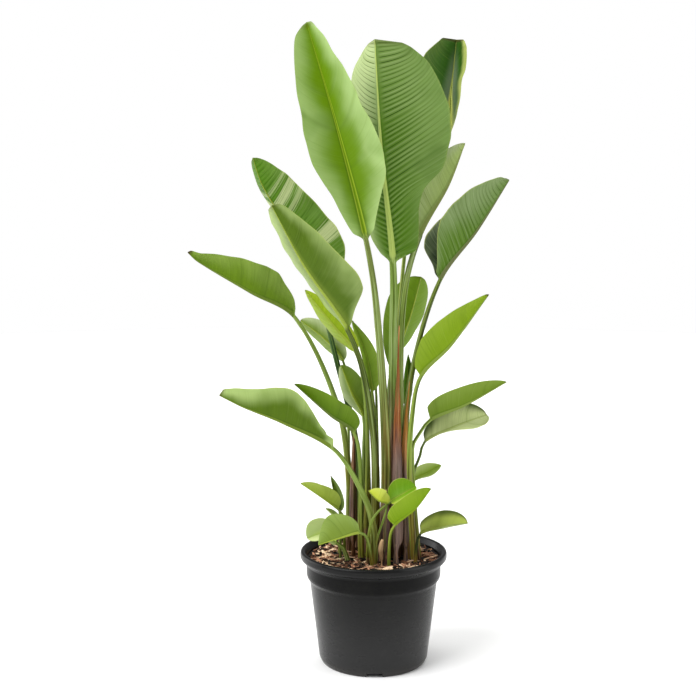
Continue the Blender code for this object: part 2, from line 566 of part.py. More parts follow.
def pot_drains(bm):
    for i in range(DRAIN_COUNT):
        angle = -math.pi / 2 + math.tau * (i + 0.5) / DRAIN_COUNT
        spot = Matrix.Translation((DRAIN_RING_RADIUS * math.cos(angle), DRAIN_RING_RADIUS * math.sin(angle), 0))
        bmesh.ops.create_cone(
            bm, cap_ends=True, segments=DRAIN_SIDES, radius1=DRAIN_RADIUS, radius2=DRAIN_RADIUS,
            depth=4 * POT_FLOOR, matrix=spot)


def make_pot():
    made = material("pot_plastic", POT_COLOUR, 0.45)
    profile = [
        (0.0, POT_FLOOR),
        (POT_FOOT_RADIUS - POT_CORNER_INSET, POT_FLOOR),
        (POT_SHOULDER_RADIUS - POT_WALL, LEDGE_FOOT_HEIGHT),
        (POT_COLLAR_RADIUS - POT_WALL, LEDGE_TOP_HEIGHT),
        (POT_COLLAR_RADIUS - POT_WALL, POT_HEIGHT - 0.010),
        (POT_COLLAR_RADIUS + 0.003, POT_HEIGHT - 0.001),
        (POT_LIP_RADIUS - 0.004, POT_HEIGHT),
        (POT_LIP_RADIUS - 0.001, POT_HEIGHT - 0.0015),
        (POT_LIP_RADIUS, POT_HEIGHT - 0.005),
        (POT_LIP_RADIUS, POT_HEIGHT - 0.0105),
        (POT_LIP_RADIUS - 0.002, POT_HEIGHT - 0.0155),
        (POT_COLLAR_RADIUS, POT_HEIGHT - 0.024),
        (POT_COLLAR_RADIUS, POT_SHOULDER_HEIGHT + 0.012),
        (POT_COLLAR_RADIUS - 0.0015, POT_SHOULDER_HEIGHT + 0.0055),
        (POT_SHOULDER_RADIUS + 0.0008, POT_SHOULDER_HEIGHT),
        (POT_SHOULDER_RADIUS, POT_SHOULDER_HEIGHT - 0.0025),
        (POT_FOOT_RADIUS, 0.009),
        (POT_FOOT_RADIUS - 0.0030, 0.0022),
        (POT_FOOT_RADIUS - 0.0050, 0.0),
        (POT_FOOT_RADIUS - POT_RING_WIDTH, 0.0),
        (POT_FOOT_RADIUS - POT_RING_WIDTH - 0.001, POT_RECESS),
        (POT_PAD_RADIUS, POT_RECESS),
        (POT_PAD_RADIUS - 0.001, 0.0),
        (0.0, 0.0),
    ]
    pot = turned_piece("pot", profile, made)
    boolean(pot, cutter("cut_pot_notches", pot_notches), "DIFFERENCE")
    boolean(pot, cutter("cut_pot_drains", pot_drains), "DIFFERENCE")
    return pot


def feet():
    """Where each stalk enters the mulch, the way it leans there, and its radius."""
    found = []
    for spec in LEAVES.values():
        samples, distance = path(spec["stalk"] + spec["rib"])
        place = samples[0]
        ahead = np.array([np.interp(FOOT_DEPTH, distance, samples[:, k]) for k in range(3)])
        found.append((place, unit(ahead - place), spec["radius"][0]))
    return found


def soil_sockets():
    """A plain socket for each stalk, a little wider than it and open upwards, as (matrix, radius, depth)."""
    sockets = []
    for place, lean, radius in feet():
        depth = FOOT_DEPTH + SOCKET_HEAD
        wide = (radius + 2 * CLEARANCE) / math.cos(math.pi / SOCKET_SIDES)
        middle = place + lean * (depth / 2 - CLEARANCE)
        turn = Vector((0, 0, 1)).rotation_difference(Vector(lean)).to_matrix().to_4x4()
        sockets.append((Matrix.Translation(middle) @ turn, wide, depth))
    return sockets


def soil_chips():
    """Bark chips lying every way on the mulch, half sunk in it, clear of the stalks: matrices of unit cubes."""
    rng = random.Random(CHIP_SEED)
    stalks = [(place, radius) for place, _, radius in feet()]
    reach = POT_COLLAR_RADIUS - POT_WALL
    chips = []
    while len(chips) < CHIP_COUNT:
        length = rng.uniform(*CHIP_LENGTH)
        width = rng.uniform(*CHIP_WIDTH)
        out = (reach - length / 2 - CHIP_RIM_GAP) * math.sqrt(rng.random())
        angle = rng.uniform(0, math.tau)
        x, y = out * math.cos(angle), out * math.sin(angle)
        heading = rng.uniform(0, math.pi)
        tilt = rng.uniform(-CHIP_TILT, CHIP_TILT)
        roll = rng.uniform(-CHIP_ROLL, CHIP_ROLL)
        if any(math.hypot(x - p[0], y - p[1]) < radius + CHIP_STALK_SHARE * length for p, radius in stalks):
            continue
        chips.append(
            Matrix.Translation((x, y, SOIL_HEIGHT + CHIP_LIFT))
            @ Matrix.Rotation(heading, 4, "Z")
            @ Matrix.Rotation(tilt, 4, "Y")
            @ Matrix.Rotation(roll, 4, "X")
            @ Matrix.Diagonal((length, width, CHIP_THICKNESS, 1))
        )
    return chips


def join_many(piece, builders, operation):
    """Applies one Boolean with a collection of small pieces, each filled by a function, and removes them."""
    group = bpy.data.collections.new("repeats")
    bpy.context.scene.collection.children.link(group)
    for i, build in enumerate(builders):
        mesh = bpy.data.meshes.new("repeat_%03d" % i)
        bm = bmesh.new()
        build(bm)
        bm.to_mesh(mesh)
        bm.free()
        add_object(mesh.name, mesh, group)
    step = piece.modifiers.new("join", "BOOLEAN")
    step.operand_type = "COLLECTION"
    step.collection = group
    step.operation = operation
    step.solver = "EXACT"
    bpy.context.view_layer.update()
    shaped = piece.evaluated_get(bpy.context.evaluated_depsgraph_get())
    mesh = bpy.data.meshes.new_from_object(shaped)
    piece.modifiers.clear()
    piece.data = mesh
    for repeat in list(group.objects):
        bpy.data.objects.remove(repeat, do_unlink=True)
    bpy.data.collections.remove(group)


def make_soil():
    made = material("bark_mulch", MULCH_COLOUR, 0.9)
    gap = POT_WALL + CLEARANCE
    profile = [
        (0.0, SOIL_HEIGHT),
        (POT_COLLAR_RADIUS - gap, SOIL_HEIGHT),
        (POT_COLLAR_RADIUS - gap, LEDGE_TOP_HEIGHT),
        (POT_SHOULDER_RADIUS - gap, LEDGE_FOOT_HEIGHT),
        (POT_FOOT_RADIUS - POT_CORNER_INSET - CLEARANCE, POT_FLOOR + CLEARANCE),
        (0.0, POT_FLOOR + CLEARANCE),
    ]
    soil = turned_piece("bark_mulch", profile, made)
    chips = [
        lambda bm, place=place: bmesh.ops.create_cube(bm, size=1.0, matrix=place)
        for place in soil_chips()
    ]
    join_many(soil, chips, "UNION")
    sockets = [
        lambda bm, place=place, wide=wide, depth=depth: bmesh.ops.create_cone(
            bm, cap_ends=True, segments=SOCKET_SIDES, radius1=wide, radius2=wide, depth=depth, matrix=place)
        for place, wide, depth in soil_sockets()
    ]
    join_many(soil, sockets, "DIFFERENCE")
    return soil


def make_leaves():
    made = {}
    for name, spec in LEAVES.items():
        colour = spec["colour"]
        if colour not in made:
            made[colour] = material("leaf_%02d" % len(made), colour, 0.4)
        rings, tip = leaf_rings(spec)
        loft(name, rings, tip, made[colour])


def main():
    for old in list(bpy.data.objects):
        bpy.data.objects.remove(old, do_unlink=True)
    for name in (PART_COLLECTION, CUTTER_COLLECTION):
        bpy.context.scene.collection.children.link(bpy.data.collections.new(name))
    make_pot()
    make_soil()
    make_leaves()


main()
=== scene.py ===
import json
import math
import random

import bmesh
import bpy
import numpy as np
from mathutils import Matrix, Vector, noise


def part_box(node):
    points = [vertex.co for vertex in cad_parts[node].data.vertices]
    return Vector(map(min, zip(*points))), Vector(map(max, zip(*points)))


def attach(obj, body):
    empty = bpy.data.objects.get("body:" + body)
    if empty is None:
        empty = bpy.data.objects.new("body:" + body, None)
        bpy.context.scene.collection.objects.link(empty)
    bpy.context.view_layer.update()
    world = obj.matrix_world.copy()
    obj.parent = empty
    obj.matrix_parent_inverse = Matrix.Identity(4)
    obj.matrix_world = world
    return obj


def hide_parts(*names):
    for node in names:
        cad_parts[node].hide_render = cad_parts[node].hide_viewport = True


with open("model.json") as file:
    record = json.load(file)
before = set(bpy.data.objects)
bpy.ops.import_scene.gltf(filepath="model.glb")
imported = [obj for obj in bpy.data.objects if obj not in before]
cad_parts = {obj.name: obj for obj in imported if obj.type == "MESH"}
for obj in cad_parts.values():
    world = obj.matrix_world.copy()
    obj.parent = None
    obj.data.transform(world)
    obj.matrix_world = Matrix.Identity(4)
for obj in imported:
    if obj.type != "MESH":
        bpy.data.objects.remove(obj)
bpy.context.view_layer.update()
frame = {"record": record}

# Looks of the potted white bird of paradise: satin leaves with pleats and fine veins, grooved stalks, dry
# papery sheaths, shredded bark and a black moulded pot. Metres, +Z up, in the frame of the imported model.

# The photograph's camera
CAMERA_PLACE = (-0.043, -1.94, 0.745)
CAMERA_PITCH = math.radians(90 - 6.3)
CAMERA_SENSOR = 36.0
PHOTO_WIDTH = 696
FOCAL_PIXELS = 1180
CAMERA_LENS = CAMERA_SENSOR * FOCAL_PIXELS / PHOTO_WIDTH

# Stage
FLOOR_RADIUS = 6.0
FLOOR_SIDES = 96
WORLD_LIGHT = 0.32
LIGHT_SPREAD = math.radians(45)

# Pot
POT_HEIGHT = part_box("pot")[1].z
POT_LIP_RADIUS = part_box("pot")[1].x
POT_COLLAR_RADIUS = 0.1130
POT_SHOULDER_RADIUS = 0.1072
POT_SHOULDER_HEIGHT = 0.139
POT_FOOT_RADIUS = 0.0915
POT_WALL = 0.0022
POT_FLOOR = 0.0085
POT_RING_WIDTH = 0.0095
POT_PAD_RADIUS = 0.046
POT_RECESS = 0.006
POT_CORNER_INSET = 0.0045
POT_SIDES = 144
POT_ROUNDING = 0.0009
POT_SHARP_ANGLE = math.radians(40)
POT_GLOSS = 0.16
# Gloss of the collar, lowered as painted shade under the rim
COLLAR_GLOSS = 0.06
NOTCH_COUNT = 3
NOTCH_WIDTH = 0.026
NOTCH_HEIGHT = 0.0075
NOTCH_ROUND = 0.0022
DRAIN_COUNT = 6
DRAIN_RADIUS = 0.0048
DRAIN_SIDES = 24
DRAIN_RING_RADIUS = 0.062

# Mulch
SOIL_HEIGHT = 0.178
FOOT_DEPTH = 0.020
CLEARANCE = 0.0003
MULCH_TOP = 0.1765
HEAPS = ((38, 1.7, 0.0016), (130, 4.1, 0.0010))
BED_RINGS = 16
BED_SIDES = 96
BED_SHARP_ANGLE = math.radians(60)
BED_TONE = 0.04
BARK_GLOSS = 0.3
SHRED_COUNT = 950
SHRED_KINDS = 9
SHRED_CUTS = 4
SHRED_WALL_GAP = 0.0025
SHRED_STALK_GAP = 0.001
SHRED_GRAIN_SHIFT = 7
PALE_CHIPS = 16
SHRED_SEED = 11

# Leaves
BLADE_END = 0.990
BLADE_LEAST_HALF = 0.0015
EDGE_AT = (0.0, 0.02, 0.06, 0.1, 0.2, 0.3, 0.4, 0.5, 0.6, 0.7, 0.8, 0.9, 0.95, 0.99, 1.0)
BLADE_LIFT = 0.00030
MARGIN_LIFT = 0.00018
BLADE_STEP = 0.0014
BLADE_ROWS = (24, 270)
BLADE_EVENNESS = 0.6
STALK_STEP = 0.012
STALK_SEAM = 8
COLUMN_STEP = 0.0085
COLUMN_RANGE = (6, 13)
MARGIN_STRIP = 0.035
MIDRIB_TIP_RADIUS = 0.0006
MIDRIB_TAPER = 1.3
MIDRIB_SHARE = 0.35
MIDRIB_GROOVE = 0.30
KEEL_POINTS = 7
NECK_SHARE = 0.05
GROOVE_DEPTH = 0.25
GROOVE_SPREAD = 26
RIPPLES = 4
RIPPLE_SHIFT = 2.1
PATH_SAMPLES = 240
PATH_REACH = 0.004
PLEAT_SPACING = 0.0085
PLEAT_DRIFT = 0.051
PLEAT_UNEVENNESS = 0.9
PLEAT_HALF = 0.03
VEIN_LEAN_MOST = 0.40
VEIN_LEAN_POWER = 6.0
VEIN_ORDER = 0.9
FLUTTER = 0.0011
FLUTTER_HALF = 0.06
FLUTTER_SPACING = 0.047
FLUTTER_SHIFT = 3
MERGE = 1e-6
SHARP_ANGLE = math.radians(50)
SEED_STEP = 600 * PLEAT_SPACING
RIB_EDGE = 1.2
LEAF_GLOSS = 0.15
LEAF_THINNESS = 0.22
SHEATH_THINNESS = 0.15
SHEATH_PLEAT = 0.0002


def pair(value):
    """A value for the right and the left: one for both, or a pair as it is."""
    return value if isinstance(value, tuple) else (value, value)


def metres(values):
    """Millimetres as metres."""
    return tuple(value / 1000 for value in values)


def leaf(stalk, rib, face, half, fold=20, curl=10, widest=0.42, base=0.75, tip=0.8, radius=(4.5, 3),
         edge=None, turn=0, wave=0):
    """One leaf, with its lengths in millimetres. stalk runs from the foot (x, y) in the mulch to the
    neck, and rib on from there to the tip. face is the way the blade's upper side looks. half, fold and
    curl are for the right and the left as seen on that side: the half-widths, the degrees that each half
    is raised at the rib, and the degrees more at its edge. Either the margins follow widest, base and
    tip, or edge gives their widths at the places of EDGE_AT. radius is the stalk's at its foot and at its
    neck. turn is how far the blade twists in degrees, and wave how much its margin ripples."""
    foot = (*metres(stalk[0]), SOIL_HEIGHT - FOOT_DEPTH + CLEARANCE)
    return {
        "stalk": [foot, *map(metres, stalk[1:])],
        "rib": list(map(metres, rib)),
        "face": face,
        "half": metres(pair(half)),
        "fold": pair(fold),
        "curl": pair(curl),
        "widest": pair(widest),
        "base": pair(base),
        "tip": pair(tip),
        "edge": edge,
        "radius": metres(radius),
        "turn": turn,
        "wave": wave,
    }


LEAVES = {
    "leaf_tall_left": leaf(
        stalk=((18, -20), (19, -35, 366), (3, -50, 598), (-14, -55, 708)),
        rib=((-58, -65, 880), (-108, -45, 1050)), face=(0.1, -1, 0.1), half=(66, 57), fold=(24, 20),
        curl=(12, 10), turn=-34, radius=(10, 4.2), wave=0.03,
        edge=((14, 21, 27, 46, 68, 71, 66, 59, 54, 43, 32, 22, 12),
            (14, 22, 27, 37, 47, 56, 56, 50, 47, 40, 31, 24, 8))),
    "leaf_tall_centre": leaf(
        stalk=((36, 4), (32, -9, 361), (31, -15, 546), (30, -20, 670)),
        rib=((10, -30, 853), (0, 0, 1030.5)), face=(-0.1, 1, 0), half=(85, 114), fold=(42, 8), curl=(10, 8),
        radius=(11.5, 5.6), wave=0.02,
        edge=((16, 29, 38, 50, 62, 70, 78, 80, 76, 60, 47, 31, 13),
            (27, 43, 47, 53, 64, 103, 117, 123, 123, 111, 93, 73, 46))),
    "leaf_back_top": leaf(
        stalk=((30, 32), (35, 32, 439), (48, 50, 640), (70, 66, 780), (122, 88, 872)),
        rib=((133, 99, 967), (141, 104, 1045)), face=(0.1, -1, 0.1), half=(36, 68), fold=(55, 15),
        radius=(4.5, 2.6),
        edge=((6, 8, 9, 14, 20, 24, 24.5, 26, 31, 31.5, 29, 24, 17),
            (3, 6, 9, 20, 34, 47, 57, 64, 64, 58, 43, 34, 26))),
    "leaf_rolled_right": leaf(
        stalk=((54, 16), (44, 12, 442), (50, 15, 618), (75.5, 20, 715)),
        rib=((124, 40, 799), (151, 40, 868)), face=(-0.7, 0.6, 0.35), half=(52, 50), fold=(50, 55), curl=25,
        base=0.8, tip=0.7, radius=(8, 4.6)),
    "leaf_upper_right": leaf(
        stalk=((58, -3), (51, -6, 362), (63, -10, 495), (107, 0, 641)),
        rib=((169.5, 10, 724.5), (217, -20, 806)), face=(-0.75, 0.25, 0.5), half=(62, 70), fold=(52, 46),
        curl=12, radius=(8, 3.6),
        edge=((8, 13, 18, 37, 54, 63, 63, 62, 56, 49, 34, 24, 14),
            (12, 22, 34, 80, 97, 94, 80, 64, 54, 42, 29, 20, 8))),
    "leaf_middle_right": leaf(
        stalk=((68, -23), (58, -34, 335), (62, -34, 424), (76, -20, 485)),
        rib=((124, -40, 540), (183, -50, 623)), face=(-0.6, 0.35, 0.6), half=(42, 40), fold=(50, 60),
        curl=15, radius=(6.2, 3.4),
        edge=((10, 19, 25, 36, 44, 45, 43, 38, 32, 23, 13, 8, 3),
            (8, 18, 25, 33, 39, 40, 39, 36, 30, 23, 14, 8, 3))),
    "leaf_low_right": leaf(
        stalk=((77, -8), (64, -7, 364), (77, -8, 391), (93, -10, 412)),
        rib=((150, -30, 440.8), (215, -40, 480)), face=(-0.35, 0.35, 0.85), half=(32, 30), fold=60, curl=15,
        widest=0.35, base=0.32, radius=(4.5, 2.8)),
    "leaf_curled_right": leaf(
        stalk=((70, 12), (66, 10, 311), (78, 15, 346), (86, 20, 369)), rib=((136, 10, 397), (192, 30, 414)),
        face=(-0.1, -0.4, 0.9), half=(33, 38), fold=(-8, 25), curl=(35, 30), radius=(3.4, 2.2),
        edge=((0.5, 1, 1.5, 2, 4, 9, 17, 26, 31, 31, 24, 17, 8),
            (8, 15, 20, 28, 33, 36, 38, 38, 36, 32, 24, 17, 8))),
    "leaf_small_right": leaf(
        stalk=((58, 32), (60, 35, 248), (70, 50, 295)), rib=((95, 65, 306), (119, 80, 317)),
        face=(-0.3, -0.6, 0.75), half=(17, 19), widest=0.45, radius=(3, 1.8)),
    "leaf_front_bright": leaf(
        stalk=((24, -50), (25, -68, 225), (32, -88, 254)), rib=((64, -100, 284), (89, -100, 317)),
        face=(-0.6, 0.3, 0.65), half=(32, 28), fold=(45, 50), curl=(15, 10), widest=0.38, base=0.45,
        tip=0.6, radius=(3, 2.2)),
    "leaf_front_cupped": leaf(
        stalk=((-10, -34), (-10, -50, 217), (-1, -62, 261), (26, -70, 288)),
        rib=((45, -72, 301), (67, -68, 313)), face=(-0.4, -0.62, 0.7), half=(26, 27), fold=15, curl=30,
        widest=0.5, base=0.5, tip=0.5, radius=(2.8, 1.8)),
    "leaf_front_yellow": leaf(
        stalk=((2, -48), (4, -56, 218), (16, -70, 264), (20, -76, 286)),
        rib=((6, -82, 293), (-10, -86, 310)), face=(0.3, 0.6, 0.65), half=22, fold=30, widest=0.5,
        base=0.55, tip=0.55, radius=(2.2, 1.4)),
    "leaf_front_left": leaf(
        stalk=((-1, -52), (-12, -70, 227), (-24, -85, 241)), rib=((-56, -105, 238), (-90, -120, 231)),
        face=(0, 0.5, 0.85), half=(32, 40), fold=(50, 65), curl=(15, 10), widest=0.58, base=0.6, tip=0.95,
        radius=(3, 2.2)),
    "leaf_round_left": leaf(
        stalk=((-38, -22), (-50, -32, 199), (-63, -40, 212)), rib=((-85, -47, 229), (-110, -54, 223)),
        face=(0.2, -0.5, 0.8), half=(28, 24), fold=(15, 20), widest=0.5, base=0.5, tip=0.5,
        radius=(5, 2.8)),
    "leaf_small_left": leaf(
        stalk=((-48, 12), (-52, -6, 249), (-60, -12, 262)), rib=((-89, -26, 287), (-121, -36, 311)),
        face=(0.4, 0.2, 0.85), half=(22, 27), fold=(50, 42), widest=0.4, radius=(3, 2)),
    "leaf_spear_left": leaf(
        stalk=((-58, 22), (-55, 14, 236), (-57, 12, 250)), rib=((-62, 10, 281), (-72, 10, 313)),
        face=(0.3, -1, 0), half=(12, 9), fold=40, widest=0.3, radius=(3, 2.4)),
    "leaf_tiny_left": leaf(
        stalk=((-56, -14), (-57, -18, 238)), rib=((-67, -20, 252), (-80, -24, 266)), face=(0.6, -0.3, 0.7),
        half=9, fold=30, widest=0.4, radius=(2.4, 1.8)),
    "leaf_lower_left": leaf(
        stalk=((1, -36), (-4, -47, 254), (-30, -58, 321), (-66.5, -61.2, 373.5)),
        rib=((-147, -78, 419), (-211, -76, 444.5), (-249.5, -70, 462.5)), face=(0.25, 0.4, 0.85),
        half=(45, 52), fold=(55, 60), curl=12, radius=(7, 3.4), wave=0.02,
        edge=((1.5, 4, 22, 37, 44, 45, 43, 40, 35, 28, 19, 12, 6),
            (9, 13, 13, 24, 38, 50, 55, 49, 39, 31, 23, 17, 11))),
    "leaf_low_narrow_left": leaf(
        stalk=((-20, -16), (-22, -20, 243), (-23, -24, 338), (-33, -30, 394)),
        rib=((-72, -50, 427), (-130, -50, 478)), face=(0.45, 0.3, 0.8), half=(26, 30), fold=55, curl=15,
        widest=0.3, base=0.5, radius=(6.2, 3)),
    "leaf_mid_left": leaf(
        stalk=((-16, 28), (-16, 25, 356), (-17, 19, 412)), rib=((-36, 10, 452), (-55, 20, 500)),
        face=(0.3, 0.9, 0.2), half=26, fold=25, widest=0.5, base=0.6, tip=0.6, radius=(5.6, 2.8)),
    "leaf_slim_left": leaf(
        stalk=((-4, 44), (-9, 38, 371), (-12, 32, 422)), rib=((-17, 35, 452), (-19, 40, 479)),
        face=(0.3, -0.9, 0.2), half=9, fold=35, widest=0.5, radius=(4.5, 2.2)),
    "leaf_pointed_left": leaf(
        stalk=((-14, 8), (-10, 6, 358), (-17, 1, 469), (-30, 2, 523)), rib=((-64, 2, 564), (-114, 2, 627)),
        face=(0.55, 0.35, 0.7), half=(34, 22), fold=(-10, 50), curl=15, base=0.5, radius=(5.2, 2.8)),
    "leaf_upper_left": leaf(
        stalk=((0, -8), (2, -20, 347), (-15, -28, 481), (-43, -34, 562)),
        rib=((-113.5, -60, 669), (-164.5, -60, 764.5)), face=(0.35, 0.93, 0.2), half=(52, 60),
        fold=(45, 15), curl=(10, 15), radius=(9, 3.6), wave=0.02,
        edge=((10, 22, 30, 42, 46, 44, 48, 56, 58, 54, 54, 44, 30),
            (9, 16, 26, 59, 64, 61, 57, 52, 46, 36, 25, 19, 10))),
    "leaf_striped_left": leaf(
        stalk=((-24, 48), (-28, 46, 351), (-67, 50, 522), (-95, 52, 624)),
        rib=((-149, 70, 733), (-188, 76, 799), (-204.5, 80, 846)), face=(0.38, 0.9, 0.22), half=(48, 74),
        fold=(46, 12), radius=(7.5, 3.4), wave=0.02,
        edge=((8, 14, 20, 30, 40, 40, 35, 30, 30, 46, 36, 36, 25),
            (36, 53, 63, 75, 76, 70, 65, 58, 52, 46, 32, 21, 7))),
    "leaf_far_left": leaf(
        stalk=((-42, 32), (-41, 22, 304), (-61, 12, 434), (-130, 0, 581)),
        rib=((-202, -24, 625), (-285, -30, 674.5), (-302, -30, 690)), face=(0.35, 0.3, 0.85), half=(38, 47),
        fold=(60, 65), curl=(12, 10), radius=(7.2, 3.2),
        edge=((5, 13, 21, 33, 38, 37, 35, 32, 27, 21, 13, 8, 3),
            (4, 13, 22, 36, 49, 50, 46, 42, 34, 26, 15, 10, 5))),
    "leaf_pale_left": leaf(
        stalk=((-44, 60), (-43, 62, 435), (-51, 56, 501)), rib=((-82, 66, 538), (-125, 80, 570)),
        face=(0.3, 0.85, 0.4), half=24, widest=0.5, base=0.6, tip=0.6, radius=(4.2, 2.2)),
    "leaf_back_centre": leaf(
        stalk=((14, 54), (26, 49, 438), (31, 47, 487)), rib=((62, 62, 573), (82, 74, 645)),
        face=(-0.2, 0.95, 0), half=(46, 37), fold=(15, 35), widest=(0.66, 0.74), base=(0.9, 1.9),
        tip=(0.5, 0.45), radius=(6, 3)),
    "leaf_slim_centre": leaf(
        stalk=((6, 20), (1, 16, 409), (-3, 12, 454)), rib=((-14, 10, 520), (-36, 16, 575)),
        face=(0.4, -0.85, 0.2), half=(20, 14), fold=(25, 30), widest=(0.3, 0.5), tip=(1, 0.6),
        radius=(5, 2.8)),
    "leaf_curled_centre": leaf(
        stalk=((10, 36), (5, 30, 441), (2, 28, 478)), rib=((-4, 28, 513), (-12, 36, 546)),
        face=(0.6, -0.7, 0.2), half=9, fold=35, widest=0.5, radius=(4.2, 2)),
    "leaf_spear_centre": leaf(
        stalk=((48, 36), (52, 30, 373), (54, 28, 425)), rib=((56, 27, 472), (58, 30, 517)),
        face=(0.3, -0.95, 0), half=11, fold=35, widest=0.4, radius=(3.4, 2.4)),
    "leaf_rim_right": leaf(
        stalk=((68, -38), (70, -38, 206), (76.5, -42, 227.5)), rib=((112, -54, 240.5), (153, -56, 249)),
        face=(-0.15, -0.45, 0.9), half=(21, 30), fold=(34, 22), curl=(30, 15), widest=0.5, base=0.36,
        tip=0.5, radius=(3.4, 2)),
    "sheath_centre": leaf(
        stalk=((36, -40), (36, -44, 195)), rib=((35, -40, 380), (40, -34, 572)), face=(0, 1, 0),
        half=(9, 19), fold=(30, 20), curl=(40, 50), widest=0.12, base=0.4, tip=1.6, radius=(7, 3)),
    "sheath_front": leaf(
        stalk=((20, -40), (20, -44, 195)), rib=((20, -50, 250), (19, -52, 305)), face=(0, 1, 0.2),
        half=(18, 12), fold=25, curl=55, widest=0.2, base=0.4, tip=1, radius=(6, 3)),
    "sheath_right": leaf(
        stalk=((52, -28), (53, -28, 195)), rib=((50, -27, 362), (58, -25, 480)), face=(0, 1, 0), half=12,
        fold=40, curl=35, widest=0.15, base=0.4, tip=1.2, radius=(5.5, 3)),
    "sheath_torn": leaf(
        stalk=((12, -58), (12, -62, 188)), rib=((9, -68, 206), (13, -70, 226)), face=(0.2, 1, 0.2), half=6,
        fold=30, curl=40, widest=0.5, base=0.4, tip=0.4, radius=(2.4, 1)),
    "sheath_left": leaf(
        stalk=((-34, 2), (-34, 1, 195)), rib=((-34, 2, 300), (-33, 6, 415)), face=(0, 1, 0), half=12,
        fold=35, curl=40, widest=0.15, base=0.4, tip=1.4, radius=(5, 2.8)),
}


def shade(red, green, blue):
    """A display colour, 0 to 255, as the linear values that shaders take."""
    return tuple((value / 255 / 12.92) if value < 11 else ((value / 255 + 0.055) / 1.055) ** 2.4
                 for value in (red, green, blue))


PLAIN_LOOK = {
    "upper": (92, 124, 14), "under": (98, 128, 26), "pale": (158, 180, 116), "rib": (158, 176, 62),
    "glow": None, "foot": (122, 118, 44), "neck": (138, 162, 74), "skin": (84, 52, 40),
    "band": (190, 205, 150), "bloom": 0.4, "under_bloom": 0.25, "wax_from": 0.05, "tip_wax": 0.0,
    "halo": (0.0, 7.0), "rib_foot": RIB_EDGE, "base_pale": 0.0, "skin_top": 0.12, "streak": 0.35,
    "lean": 0.82, "pleat": 0.00012, "crease": 0.0, "bands": (), "rim": 0.12, "burn": 0.3,
}
LOOK_COLOURS = ("upper", "under", "pale", "rib", "glow", "foot", "neck", "skin", "band")


def look(**changes):
    """How one leaf is coloured: PLAIN_LOOK with some changes. upper and under are the colours of its
    sides, and pale is the colour of the waxy coat on them and of the painted sheen, a painted reflection
    of light. Both thicken from wax_from on towards the margin by bloom and
    under_bloom, each for the right and the left, and towards the tip by tip_wax. rib
    is the midrib's colour and rib_foot how broad it is at its foot. halo is how strongly and how far
    glow spreads from it, and base_pale how pale the blade's base is. foot and neck are the stalk's
    colours, and skin is the dry skin on it up to skin_top. streak is how strongly the veins show and
    lean how much they lean towards the tip. pleat is how far the folds between them stand out in
    metres, and crease how strongly painted shade darkens the valleys between the folds and
    painted highlight lightens their ridges. bands are light bands along the veins in the colour band:
    where they leave the midrib, their half-width and their strength. rim is how pale the margin is,
    partly its own pale edge and partly a painted glow of light through it, and burn how brown the tip."""
    made = PLAIN_LOOK | changes
    made["glow"] = made["glow"] or made["rib"]
    for key in LOOK_COLOURS:
        made[key] = shade(*made[key])
    for key in ("bloom", "under_bloom", "wax_from"):
        made[key] = pair(made[key])
    return made


